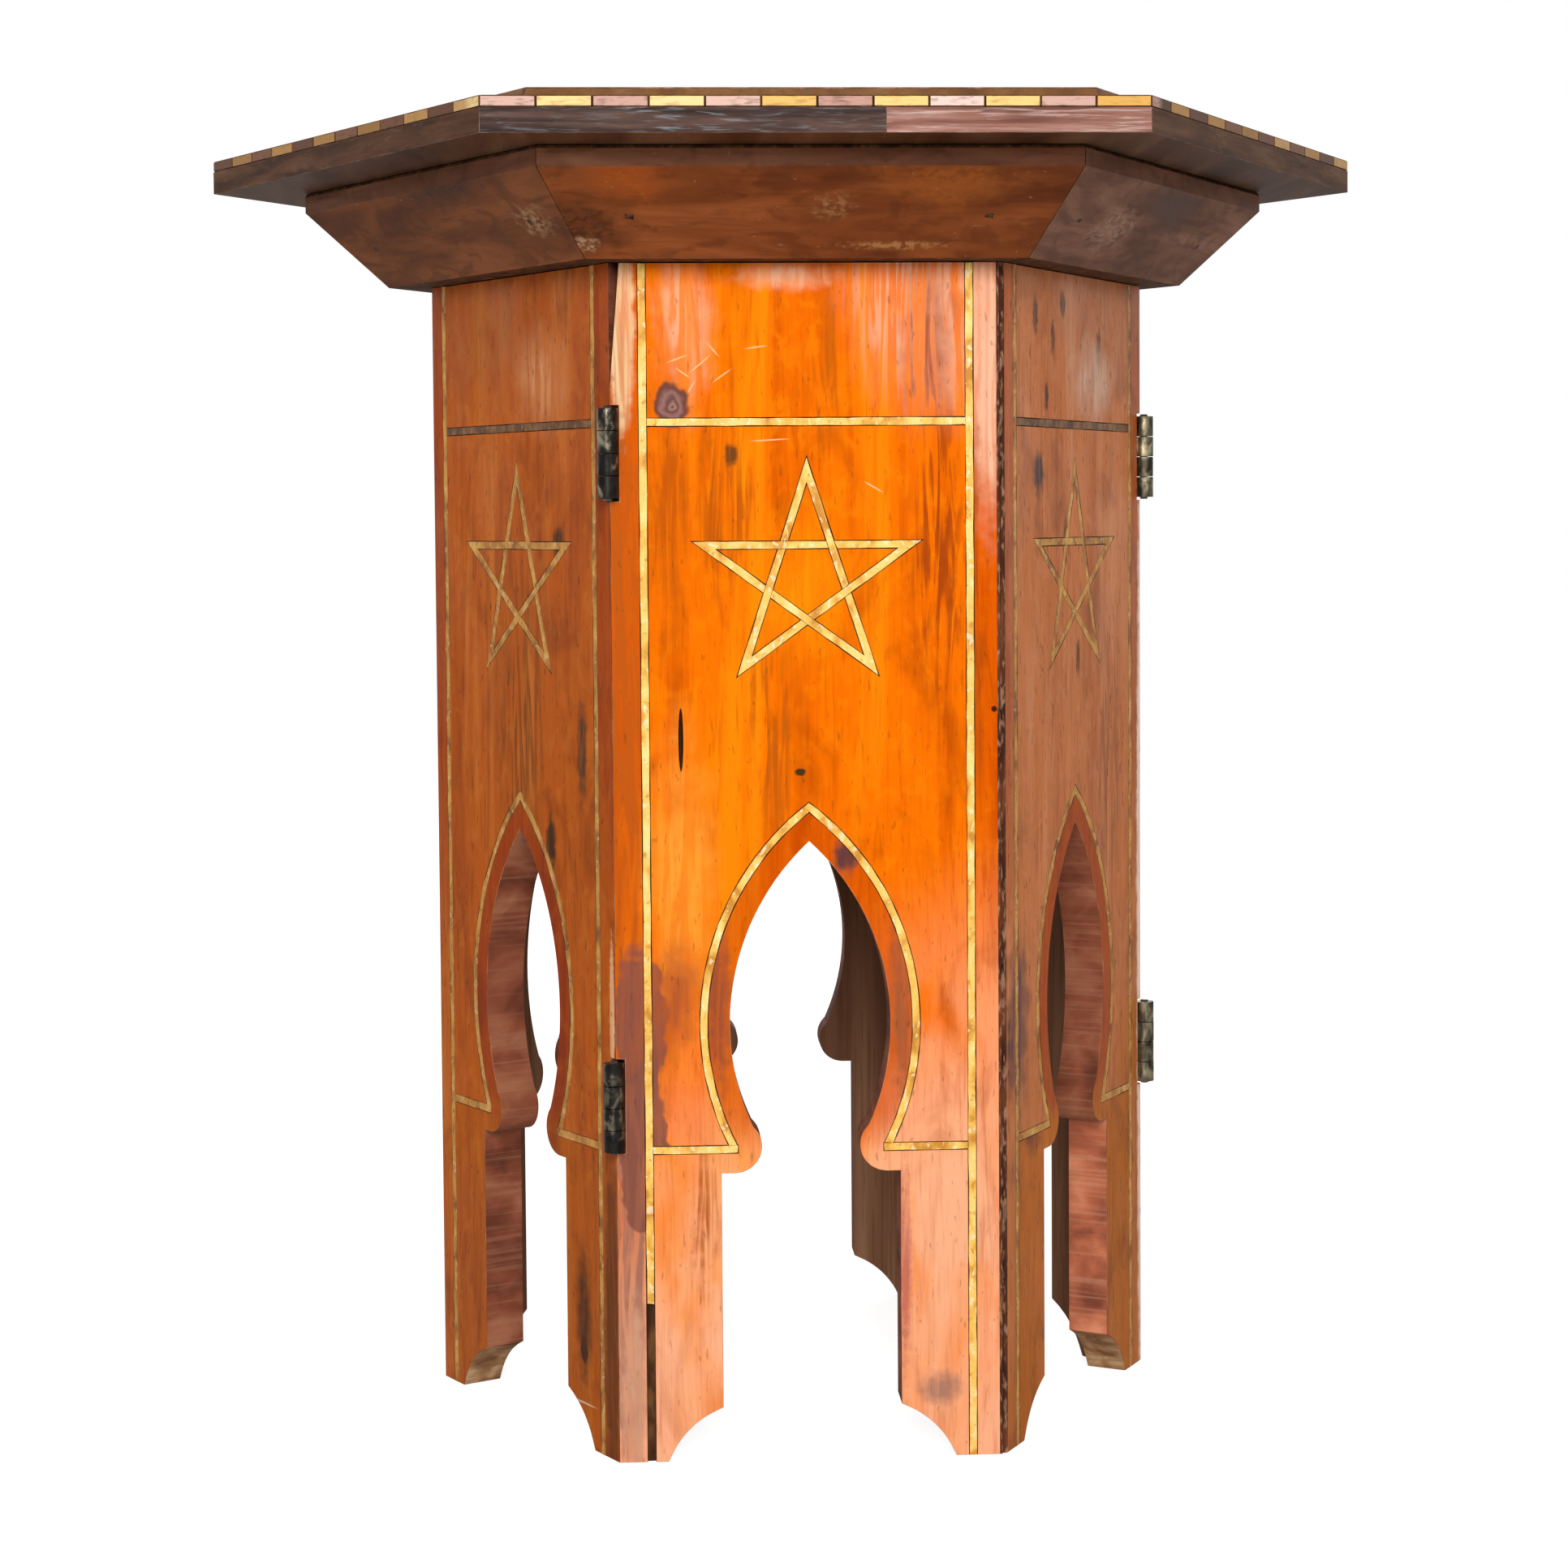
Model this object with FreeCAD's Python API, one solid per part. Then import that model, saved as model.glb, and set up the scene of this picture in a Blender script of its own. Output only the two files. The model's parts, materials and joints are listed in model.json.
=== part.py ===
import FreeCAD, Part
import math
import os

# Hexagonal folding drinks table. Six arched panels are hinged edge to edge into a base that
# folds to a three-armed star, and a moulded top lifts off it. All lengths are in millimetres.
# The origin is on the floor at the table's axis, +Z is up and the front panel faces -Y.
# Curves and small rods are drawn in flats, in numbers named facets.

# Top: two boards, a border of blocks and a raised field
top_side = 224.0                # one side of the hexagon, which is also centre to corner
board_thickness = 8.5
board_joint_offset = 23.0       # the boards meet this far right of the middle
block_thickness = 4.0
blocks_per_side = 12
border_width = 22.0
field_rise = 6.0                # field above the border
field_bevel = 3.0

# Apron: six mitred mouldings under the top
top_overhang = 30.7             # top's edge beyond the apron
apron_height = 36.7
apron_band = 7.5                # upright band above the bevel
apron_lip = 13.8                # underside beyond the panels' outer faces
apron_cover = 5.7               # underside beyond the panels' inner faces
apron_mitre_gap = 0.3

# Base panels
body_side = 140.5               # one side of the hexagon over the panels' outer faces
panel_height = 432.0
panel_thickness = 16.0
mitre_gap = 0.5                 # between the mitred edges of two neighbours
seat_gap = 0.3                  # panel tops to apron

# Arched opening and feet of a panel
arch_apex_height = 225.0
arch_widest_height = 159.0
arch_half_width = 29.0
arch_facets = (5, 3)            # flats of its side above and below the widest height
cusp_join_height = 122.0        # where the arch turns into the cusp
cusp_join_half_gap = 21.0
cusp_tip_height = 115.5
cusp_half_gap = 17.7
cusp_underside_height = 105.0
cusp_underside_run = 5.4        # flat of the cusp beside the leg
cusp_facets = 8
leg_half_gap = 32.4
foot_rise = 19.5
foot_run = 20.0
foot_curve_shares = (0.60, 0.62)    # middle of the foot's hollow, of its run and of its rise
foot_facets = 4

# Stringing: pale strips let into each panel
string_width = 2.8
string_depth = 1.5
string_clearance = 0.1
edge_string_inset = 11.8        # panel edge to the middle of an upright strip
top_string_drop = 56.5          # panel top to the middle of the level strip
arch_string_offset = 9.4        # opening to the middle of the curved strip
cusp_string_height = 113.8
cusp_string_reach = 26.4        # inner end of a cusp strip from the panel's middle
star_centre_share = 0.595       # of the field between the arch strip and the level strip
star_radius_share = 0.314       # of the same field
star_points = 5

# Butt hinges: two at every corner, pinned inside and outside in turn
hinge_height = 32.0
lower_hinge_height = 130.0
upper_hinge_drop = 67.5         # panel top to the middle of the upper hinge
hinge_proud = 1.5               # pin beyond the corner edge
barrel_radius = 4.0
leaf_width = 13.0               # from the pin
leaf_thickness = 1.6
knuckle_count = 4
knuckle_gap = 0.3
barrel_facets = 8
pin_radius = 1.6
pin_facets = 6
pin_clearance = 0.08
pin_overhang = 0.8
hinge_clearance = 0.35          # panel round the barrel and the leaf's edges
screw_spacing = 18.0
screw_offset = 8.5              # from the pin
screw_radius = 1.2
screw_head_radius = 2.4
screw_bite = 6.0                # into the panel
screw_clearance = 0.05
screw_facets = 6

# Pegs under the front apron and nails through the bevels
peg_radius = 4.0
peg_length = 28.0               # half in the apron, half in the panel
peg_clearance = 0.2
peg_chamfer = 1.0
peg_facets = 8
peg_place_share = 0.29          # of the panel's width, from its middle
nail_radius = 1.1
nail_head_radius = 2.2
nail_head_height = 0.8
nail_bite = 6.0                 # into the top boards
nail_run = 31.0                 # inwards on its way up
nail_facets = 4
nail_place_share = 0.40         # of the apron's lower edge, from its middle
nail_height_share = 0.45        # of the bevel

overrun = 5.0                   # cutters past the faces that they cut

# Derived places
half_angle = math.radians(30.0)
cos_half = math.cos(half_angle)
sin_half = math.sin(half_angle)
tan_half = math.tan(half_angle)
sides = ("front", "front_right", "back_right", "back", "back_left", "front_left")
pin_corners = ("front_right", "right", "back_right", "back_left", "left", "front_left")
side_turn = 360.0 / len(sides)
right_corner_angle = 300.0
left_corner_angle = 240.0

apron_bottom = panel_height + seat_gap
board_bottom = apron_bottom + apron_height
board_top = board_bottom + board_thickness
border_top = board_top + block_thickness
field_top = border_top + field_rise
top_apothem = top_side * cos_half
field_apothem = top_apothem - border_width
apron_apothem = top_apothem - top_overhang
body_apothem = body_side * cos_half
inner_apothem = body_apothem - panel_thickness
lip_apothem = body_apothem + apron_lip
cover_apothem = inner_apothem - apron_cover
outer_pin_place = body_side + hinge_proud
inner_pin_place = inner_apothem / cos_half - hinge_proud
hinge_heights = (lower_hinge_height, panel_height - upper_hinge_drop)

arch_rise = arch_apex_height - arch_widest_height
arch_radius = (arch_rise ** 2 + arch_half_width ** 2) / (2 * arch_half_width)
arch_centre_x = arch_half_width - arch_radius
haunch_drop = arch_widest_height - cusp_join_height
haunch_inset = arch_half_width - cusp_join_half_gap
haunch_radius = (haunch_drop ** 2 + haunch_inset ** 2) / (2 * haunch_inset)
haunch_centre_x = arch_half_width - haunch_radius
edge_string_x = body_side / 2 - edge_string_inset
top_string_height = panel_height - top_string_drop
arch_string_radius = arch_radius + arch_string_offset
arch_string_apex = arch_widest_height + math.sqrt(arch_string_radius ** 2 - arch_centre_x ** 2)
star_field = top_string_height - arch_string_apex
star_height = arch_string_apex + star_centre_share * star_field
star_radius = star_radius_share * star_field


def vec(x, y, z):
    return FreeCAD.Vector(x, y, z)


def turned(shape, degrees):
    """A copy turned about the table's axis."""
    copy = shape.copy()
    copy.rotate(vec(0, 0, 0), vec(0, 0, 1), degrees)
    return copy


def mirrored(shape):
    """The same shape on the other side of the panel's middle."""
    return shape.mirror(vec(0, 0, 0), vec(1, 0, 0))


def flat_face(corners):
    return Part.Face(Part.makePolygon(corners + corners[:1]))


def prism(plan, bottom, height):
    """An upright prism on a plan of (x, y) points."""
    return flat_face([vec(x, y, bottom) for x, y in plan]).extrude(vec(0, 0, height))


def rod(stations, facets, start, direction):
    """A flat-sided rod through (radius, distance) stations, whose last may be a point."""
    turns = [2 * math.pi * (i + 0.5) / facets for i in range(facets)]
    rings = [[vec(r * math.cos(a), r * math.sin(a), d) for a in turns] for r, d in stations]
    end_radius = stations[-1][0]
    skin = [flat_face(rings[0])]
    if end_radius:
        skin.append(flat_face(rings[-1]))
    for near, far in zip(rings, rings[1:]):
        pointed = far is rings[-1] and not end_radius
        for i in range(facets):
            side = [near[i - 1], near[i], far[i], far[i - 1]]
            skin.append(flat_face(side[:3] if pointed else side))
    shell = Part.makeShell(skin)
    shell.sewShape()
    shape = Part.makeSolid(shell)
    shape.Placement = FreeCAD.Placement(start, FreeCAD.Rotation(vec(0, 0, 1), direction))
    return shape


def upright_rod(radius, facets, x, bottom, top):
    """A plain upright rod on the X axis."""
    return rod([(radius, 0), (radius, top - bottom)], facets, vec(x, 0, bottom), vec(0, 0, 1))


def clear_of(radius, facets):
    """Corner radius of a flat-sided hole that stays outside a circle."""
    return radius / math.cos(math.pi / facets)


def front_polygon(points, outer_y, depth):
    """A plate behind the front face, from (x, z) points."""
    return flat_face([vec(x, outer_y, z) for x, z in points]).extrude(vec(0, depth, 0))


def arc_flats(start, middle, end, count):
    """Points along an arc through three (x, z) points, a number of flats apart."""
    arc = Part.Arc(*[vec(x, 0, z) for x, z in (start, middle, end)]).toShape()
    return [(point.x, point.z) for point in arc.discretize(count + 1)]


def front_bar(x_low, x_high, z_low, z_high, outer_y, depth):
    return front_polygon([(x_low, z_low), (x_high, z_low), (x_high, z_high), (x_low, z_high)], outer_y, depth)


def span(low, high, start, end):
    """A box whose X and Y ranges may be given in either order."""
    x_low, x_high = sorted((low[0], high[0]))
    y_low, y_high = sorted((low[1], high[1]))
    return Part.makeBox(x_high - x_low, y_high - y_low, end - start, vec(x_low, y_low, start))


def hexagon(apothem):
    radius = apothem / cos_half
    angles = [math.radians(side_turn * i) for i in range(len(sides))]
    return [(radius * math.cos(a), radius * math.sin(a)) for a in angles]


def hexagon_wire(apothem, height):
    points = [vec(x, y, height) for x, y in hexagon(apothem)]
    return Part.makePolygon(points + points[:1])


# Top
def top_boards():
    """The hexagonal base of the top, in two boards that meet in a straight joint."""
    blank = prism(hexagon(top_apothem), board_bottom, board_thickness)
    left_half = span((-top_side, -top_side), (board_joint_offset, top_side), board_bottom, board_top)
    return blank.common(left_half), blank.cut(left_half)


def top_field():
    """The raised middle: upright inside the border, bevelled above it."""
    lower = prism(hexagon(field_apothem), board_top, block_thickness)
    rims = [hexagon_wire(field_apothem, border_top), hexagon_wire(field_apothem - field_bevel, field_top)]
    return lower.fuse(Part.makeLoft(rims, True, True)).removeSplitter()


def border_blocks(first):
    """Every second block of the border, starting from the given one on each side."""
    block_length = top_side / blocks_per_side
    inner_half = field_apothem * tan_half
    blocks = []
    for turn in range(len(sides)):
        for i in range(first, blocks_per_side, 2):
            ends = [block_length * (i + step) - top_side / 2 for step in (0, 1)]
            inner = [max(-inner_half, min(inner_half, x)) for x in ends]
            plan = [(ends[0], -top_apothem), (ends[1], -top_apothem)]
            plan += [(inner[1], -field_apothem), (inner[0], -field_apothem)]
            blocks.append(turned(prism(plan, board_top, block_thickness), side_turn * turn))
    return blocks


# Apron
def apron_member():
    """The front moulding: flat underside, bevelled face and upright band, mitred at both ends."""
    band_bottom = board_bottom - apron_band
    section = [(cover_apothem, apron_bottom), (lip_apothem, apron_bottom), (apron_apothem, band_bottom)]
    section += [(apron_apothem, board_bottom), (cover_apothem, board_bottom)]
    bar = flat_face([vec(-top_side, -y, z) for y, z in section]).extrude(vec(2 * top_side, 0, 0))
    tip = apron_mitre_gap / (2 * sin_half)
    reach = (top_apothem - tip) * tan_half
    wedge = prism([(0, -tip), (reach, -top_apothem), (-reach, -top_apothem)], apron_bottom, apron_height)
    return bar.common(wedge)


def apron_nails():
    """Two nails through the front bevel, which run up and inwards into the top boards."""
    start_y = -(lip_apothem + nail_height_share * (apron_apothem - lip_apothem))
    start_z = apron_bottom + nail_height_share * (apron_height - apron_band)
    way = vec(0, nail_run, board_bottom + nail_bite - start_z)
    stations = [(nail_head_radius, 0), (nail_radius, nail_head_height), (0, way.Length)]
    nails = []
    for hand in (-1, 1):
        head = vec(hand * nail_place_share * lip_apothem * 2 * tan_half, start_y, start_z)
        nails.append(rod(stations, nail_facets, head, way))
    return nails


def pegs(clearance):
    """Two dowels, or with a clearance their holes, between the front apron and the front panel."""
    radius = peg_radius + clearance
    length = peg_length + 2 * clearance
    bottom = panel_height - peg_length / 2 - clearance
    stations = [(radius - peg_chamfer, 0), (radius, peg_chamfer)]
    stations += [(radius, length - peg_chamfer), (radius - peg_chamfer, length)]
    result = []
    for hand in (-1, 1):
        foot = vec(hand * peg_place_share * body_side, -(body_apothem + inner_apothem) / 2, bottom)
        result.append(rod(stations, peg_facets, foot, vec(0, 0, 1)))
    return result


# Panels
def arch_side(offset, foot):
    """Points down the arch's right side, at an offset outside it, from the apex to a foot height."""
    upper = arch_radius + offset
    lower = haunch_radius + offset
    apex_angle = math.acos(-arch_centre_x / upper)
    foot_angle = -math.asin((arch_widest_height - foot) / lower)
    above, below = arch_facets
    points = []
    for i in range(above):
        angle = apex_angle * (1 - i / above)
        across = arch_centre_x + upper * math.cos(angle)
        points.append((across, arch_widest_height + upper * math.sin(angle)))
    for i in range(below + 1):
        angle = foot_angle * i / below
        across = haunch_centre_x + lower * math.cos(angle)
        points.append((across, arch_widest_height + lower * math.sin(angle)))
    return points


def arch_opening():
    """The cutter for the keel arch, its cusps, the gap between the legs and the hollows of the feet."""
    join = (cusp_join_half_gap, cusp_join_height)
    cusp_end = (leg_half_gap - cusp_underside_run, cusp_underside_height)
    cusp = arc_flats(join, (cusp_half_gap, cusp_tip_height), cusp_end, cusp_facets)
    leg_top = (leg_half_gap, cusp_underside_height)
    run_share, rise_share = foot_curve_shares
    foot_middle = (leg_half_gap + run_share * foot_run, rise_share * foot_rise)
    foot_end = (leg_half_gap + foot_run, 0)
    foot = arc_flats((leg_half_gap, foot_rise), foot_middle, foot_end, foot_facets)
    below = (leg_half_gap + foot_run, -overrun)
    right = arch_side(0, cusp_join_height)[:-1] + cusp + [leg_top] + foot + [below]
    left = [(-x, z) for x, z in right[:0:-1]]
    return front_polygon(right + left, -body_apothem - overrun, panel_thickness + 2 * overrun)


def star_tip(index):
    angle = math.radians(90.0 - 360.0 * index / star_points)
    return vec(star_radius * math.cos(angle), 0, star_height + star_radius * math.sin(angle))


def star_strip(index, margin, depth):
    """One strip of the star, from a tip to the next but one, mitred where strips meet in a tip."""
    start = star_tip(index)
    end = star_tip(index + 2)
    along = (end - start).normalize()
    inward = vec(-along.z, 0, along.x)
    if inward.dot(vec(0, 0, star_height) - start) < 0:
        inward = inward * -1
    taper = math.tan(math.radians(90.0 / star_points))
    corners = []
    for tip, way in ((start, 1), (end, -1)):
        for inset in (-margin, string_width + margin):
            corners.append(tip + along * (way * inset / taper) + inward * inset)
    ordered = (corners[0], corners[2], corners[3], corners[1])
    return front_polygon([(point.x, point.z) for point in ordered], -body_apothem, depth)


def star_strips():
    """The woven star: each strip passes over one neighbour and is cut through by the other."""
    whole = [star_strip(i, 0, string_depth) for i in range(star_points)]
    pieces = []
    for i, strip in enumerate(whole):
        pieces += strip.cut(whole[(i + 1) % star_points]).Solids
    return pieces


def straight_strings(margin, depth):
    """The upright, level and cusp strips, or with a margin their grooves."""
    half = string_width / 2 + margin
    face = -body_apothem
    edge_inner = edge_string_x - string_width / 2
    top = panel_height + margin
    upright = front_bar(edge_string_x - half, edge_string_x + half, -margin, top, face, depth)
    low, high = top_string_height - half, top_string_height + half
    level = front_bar(-edge_inner, edge_inner, low, high, face, depth)
    cusp_low, cusp_high = cusp_string_height - half, cusp_string_height + half
    cusp = front_bar(cusp_string_reach - margin, edge_inner, cusp_low, cusp_high, face, depth)
    return [upright, mirrored(upright), level, cusp, mirrored(cusp)]


def arch_strings(margin, depth):
    """The two curved strips round the arch, or with a margin their grooves."""
    half = string_width / 2 + margin
    foot = cusp_string_height + string_width / 2
    inner, outer = (arch_side(arch_string_offset + side * half, foot) for side in (-1, 1))
    right = front_polygon(outer + inner[::-1], -body_apothem, depth)
    return [right, mirrored(right)]


def stringing():
    """All strips of one panel, flush with its outer face."""
    return straight_strings(0, string_depth) + arch_strings(0, string_depth) + star_strips()


def string_grooves():
    grooves = straight_strings(string_clearance, string_depth)
    grooves += arch_strings(string_clearance, string_depth)
    return grooves + [star_strip(i, string_clearance, string_depth) for i in range(star_points)]


def panel_blank():
    """A board whose upright edges are mitred to the hexagon's corners."""
    outer_half = (body_apothem * sin_half - mitre_gap / 2) / cos_half
    inner_half = (inner_apothem * sin_half - mitre_gap / 2) / cos_half
    plan = [(-outer_half, -body_apothem), (outer_half, -body_apothem)]
    plan += [(inner_half, -inner_apothem), (-inner_half, -inner_apothem)]
    return prism(plan, 0, panel_height)


# Hinges are drawn at a corner on the +X axis: X runs outwards, and side says which neighbour of
# the corner plane a leaf belongs to, +1 for counter-clockwise and -1 for clockwise.
def pin_place(pinned_inside):
    """The pin's distance from the table's axis, and the way from the pin into the wood."""
    return (inner_pin_place, 1) if pinned_inside else (outer_pin_place, -1)


def hinge_recess(pinned_inside, side, height):
    """What one hinge takes out of a panel's mitred edge."""
    place, inwards = pin_place(pinned_inside)
    reach = hinge_height / 2 + hinge_clearance
    back = side * (mitre_gap / 2 + leaf_thickness)
    edge = place + inwards * (leaf_width + hinge_clearance)
    leaf = span((place, 0), (edge, back), height - reach, height + reach)
    barrel_reach = reach + pin_overhang
    radius = clear_of(barrel_radius + hinge_clearance, barrel_facets)
    return leaf.fuse(upright_rod(radius, barrel_facets, place, height - barrel_reach, height + barrel_reach))


def hinge_screws(pinned_inside, side, height, clearance):
    """The two countersunk screws of a leaf, or with a clearance their holes."""
    place, inwards = pin_place(pinned_inside)
    neck = screw_radius + clearance
    point = leaf_thickness + screw_bite * neck / screw_radius
    stations = [(screw_head_radius + clearance, 0), (neck, leaf_thickness), (0, point)]
    screws = []
    for step in (-1, 1):
        face = vec(place + inwards * screw_offset, side * mitre_gap / 2, height + step * screw_spacing / 2)
        screws.append(rod(stations, screw_facets, face, vec(0, side, 0)))
    return screws


def hinge_leaf(pinned_inside, side, height):
    """A leaf with its knuckles: the clockwise leaf holds the first, the other leaf the next, in turn."""
    place, inwards = pin_place(pinned_inside)
    bottom = height - hinge_height / 2
    near, far = side * mitre_gap / 2, side * (mitre_gap / 2 + leaf_thickness)
    leaf = span((place, near), (place + inwards * leaf_width, far), bottom, bottom + hinge_height)
    pitch = hinge_height / knuckle_count
    notch_edge = place + inwards * (barrel_radius + knuckle_gap)
    first_own = 0 if side < 0 else 1
    own = []
    for i in range(knuckle_count):
        play = -knuckle_gap / 2 if i % 2 == first_own else knuckle_gap / 2
        low = bottom + i * pitch - (play if i > 0 else 0)
        high = bottom + (i + 1) * pitch + (play if i < knuckle_count - 1 else 0)
        if i % 2 == first_own:
            own.append(upright_rod(barrel_radius, barrel_facets, place, low, high))
        else:
            leaf = leaf.cut(span((place, near), (notch_edge, far), low, high))
    leaf = leaf.fuse(own).removeSplitter()
    bore_radius = clear_of(pin_radius + pin_clearance, pin_facets)
    bore = upright_rod(bore_radius, pin_facets, place, bottom, bottom + hinge_height)
    return leaf.cut([bore] + hinge_screws(pinned_inside, side, height, screw_clearance))


def hinge_pin(pinned_inside, height):
    place, _ = pin_place(pinned_inside)
    reach = hinge_height / 2 + pin_overhang
    return upright_rod(pin_radius, pin_facets, place, height - reach, height + reach)


def panel(right_inside, has_peg_holes):
    """One finished panel at the front: arched, grooved, and recessed for its hinges."""
    cutters = [arch_opening()] + string_grooves()
    for angle, side, inside in corner_fittings(right_inside):
        for height in hinge_heights:
            recess = hinge_recess(inside, side, height)
            holes = hinge_screws(inside, side, height, screw_clearance)
            cutters += [turned(cutter, angle) for cutter in [recess] + holes]
    if has_peg_holes:
        cutters += pegs(peg_clearance)
    return panel_blank().cut(cutters)


def corner_fittings(right_inside):
    """Corner angle, side and pin position at the two edges of the front panel."""
    return ((right_corner_angle, -1, right_inside), (left_corner_angle, 1, not right_inside))


def write(name, shapes):
    """One node: its solids go to a file of its own."""
    solids = [solid for shape in shapes for solid in shape.Solids]
    shape = solids[0] if len(solids) == 1 else Part.makeCompound(solids)
    shape.exportStep("parts/" + name + ".step")
    state = "valid" if shape.isValid() else "NOT VALID"
    print(name, len(solids), "solids", round(shape.Volume), "mm3", state)


def write_top():
    nails = [turned(nail, side_turn * i) for i in range(len(sides)) for nail in apron_nails()]
    left_board, right_board = top_boards()
    write("top_board_left", [left_board.cut(nails)])
    write("top_board_right", [right_board.cut(nails)])
    write("top_field", [top_field()])
    write("dark_border_blocks", border_blocks(0))
    write("light_border_blocks", border_blocks(1))
    for i, name in enumerate(sides):
        cutters = apron_nails() + (pegs(0) if i == 0 else [])
        write(name + "_apron", [turned(apron_member().cut(cutters), side_turn * i)])
    write("apron_nails", nails)
    write("locating_pegs", pegs(0))


def write_side(index):
    """A panel with its stringing, its half of the hinges and the pins of its right-hand corner."""
    name = sides[index]
    turn = side_turn * index
    right_inside = index % 2 == 0
    write(name + "_panel", [turned(panel(right_inside, index == 0), turn)])
    write(name + "_stringing", [turned(strip, turn) for strip in stringing()])
    screws = []
    for hand, (angle, side, inside) in zip(("right", "left"), corner_fittings(right_inside)):
        leaves = [turned(hinge_leaf(inside, side, height), angle + turn) for height in hinge_heights]
        write(name + "_panel_" + hand + "_leaves", leaves)
        for height in hinge_heights:
            screws += [turned(screw, angle + turn) for screw in hinge_screws(inside, side, height, 0)]
    write(name + "_panel_screws", screws)
    pins = [turned(hinge_pin(right_inside, height), right_corner_angle + turn) for height in hinge_heights]
    write(pin_corners[index] + "_corner_pins", pins)


os.makedirs("parts", exist_ok=True)
write_top()
for side_index in range(len(sides)):
    write_side(side_index)
print("overall height", field_top, "pins at", round(outer_pin_place, 3), round(inner_pin_place, 3))
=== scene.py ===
# %% [markdown]
# A six-sided folding drinks table. The base is six arched panels of shellacked wood, hinged edge to
# edge; a loose top with a block border sits on them. The frame gives every solid at its true size and
# place, in metres, so each visible piece here starts as a merged copy of its solid and is then worn,
# rounded and finished. Starting from the solids keeps the fits of hinge, groove and moulding exact.

# %% Load the frame
import json
import math

import bmesh
import bpy
from mathutils import Matrix, Vector

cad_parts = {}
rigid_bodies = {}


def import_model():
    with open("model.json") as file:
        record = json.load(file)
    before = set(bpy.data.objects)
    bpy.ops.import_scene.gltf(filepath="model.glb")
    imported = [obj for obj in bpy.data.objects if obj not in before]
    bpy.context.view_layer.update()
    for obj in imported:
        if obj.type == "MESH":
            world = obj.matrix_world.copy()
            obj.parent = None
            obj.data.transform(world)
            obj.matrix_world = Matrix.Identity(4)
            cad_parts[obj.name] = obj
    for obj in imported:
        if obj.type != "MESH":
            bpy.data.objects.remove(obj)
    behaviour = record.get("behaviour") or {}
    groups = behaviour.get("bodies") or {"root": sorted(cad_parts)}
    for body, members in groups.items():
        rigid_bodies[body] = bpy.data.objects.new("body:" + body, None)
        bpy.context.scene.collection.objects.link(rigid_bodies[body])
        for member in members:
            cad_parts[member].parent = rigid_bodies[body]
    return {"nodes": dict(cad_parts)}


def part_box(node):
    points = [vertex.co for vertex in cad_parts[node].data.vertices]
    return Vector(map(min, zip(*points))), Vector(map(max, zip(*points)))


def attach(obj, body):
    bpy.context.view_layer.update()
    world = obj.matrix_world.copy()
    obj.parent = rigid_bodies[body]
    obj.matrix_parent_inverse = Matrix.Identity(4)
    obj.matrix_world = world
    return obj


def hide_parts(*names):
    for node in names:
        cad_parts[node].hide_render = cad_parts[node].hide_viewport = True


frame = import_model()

scene = bpy.context.scene
scene.view_settings.view_transform = "Standard"
MM = 0.001
SIDE_ANGLE = 60
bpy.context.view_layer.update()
SIDES = ("front", "front_right", "back_right", "back", "back_left", "front_left")

# %% [markdown]
# The camera stands in front of the table and a little to its left, below the level of the top, so the
# underside of the top shows and its surface doesn't. The lens is a short telephoto. Its shift keeps the
# feet in the frame while the camera stays almost level, so the uprights look upright.

# %% Camera
CAMERA_PLACE = (-0.0673, -1.2309, 0.3416)
CAMERA_TURN = (math.pi / 2 - 0.0513, 0.0071, -0.0532)
LENS, FILM_WIDTH, LENS_SHIFT = 71.26, 36.0, -0.0688
bpy.ops.object.select_all(action="DESELECT")
bpy.ops.object.camera_add(location=CAMERA_PLACE, rotation=CAMERA_TURN)
camera = bpy.context.object
camera.name = "camera"
camera.data.lens = LENS
camera.data.sensor_width = FILM_WIDTH
camera.data.shift_y = LENS_SHIFT
scene.camera = camera
print("camera at", tuple(round(value, 3) for value in camera.location))

# %% [markdown]
# Colours are written as the sRGB values that a picture shows and turned to linear once. Every finish is
# a small tree of nodes, so one helper adds a node with its settings, inputs and ramp stops.

# %% Colour and node helpers
def shade(hex_colour):
    """Linear RGBA of an sRGB hex colour."""
    parts = [int(hex_colour[start:start + 2], 16) / 255 for start in (1, 3, 5)]
    return tuple(part / 12.92 if part <= 0.04045 else ((part + 0.055) / 1.055) ** 2.4
                 for part in parts) + (1.0,)


def fill(tree, made, inputs):
    """Link or set the inputs of a node."""
    for name, value in inputs.items():
        if isinstance(value, bpy.types.NodeSocket):
            tree.links.new(value, made.inputs[name])
        else:
            made.inputs[name].default_value = value


def node(tree, kind, settings=None, inputs=None, stops=None, out=None):
    """Add a shader node, set it up, fill its inputs, and give its first or named output."""
    made = tree.nodes.new("ShaderNode" + kind)
    for name, value in (settings or {}).items():
        setattr(made, name, value)
    fill(tree, made, inputs or {})
    if stops:
        stops = list(stops)
        ramp = made.color_ramp.elements
        while len(ramp) < len(stops):
            ramp.new(1.0)
        for element, (place, colour) in zip(ramp, stops):
            element.position = place
            element.color = shade(colour)
    if out:
        return made.outputs[out]
    return next(socket for socket in made.outputs if socket.enabled)


def new_finish(name, side=None):
    """A new material, its tree, its main shader, and places, those of a side turned to the front."""
    material = bpy.data.materials.new(name)
    material.use_nodes = True
    tree = material.node_tree
    place = node(tree, "TexCoord", out="Object")
    if side is not None:
        turn = -math.radians(SIDE_ANGLE * side)
        place = node(tree, "Mapping", None, {"Vector": place, "Rotation": (0, 0, turn)})
    return material, tree, tree.nodes["Principled BSDF"], place


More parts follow.
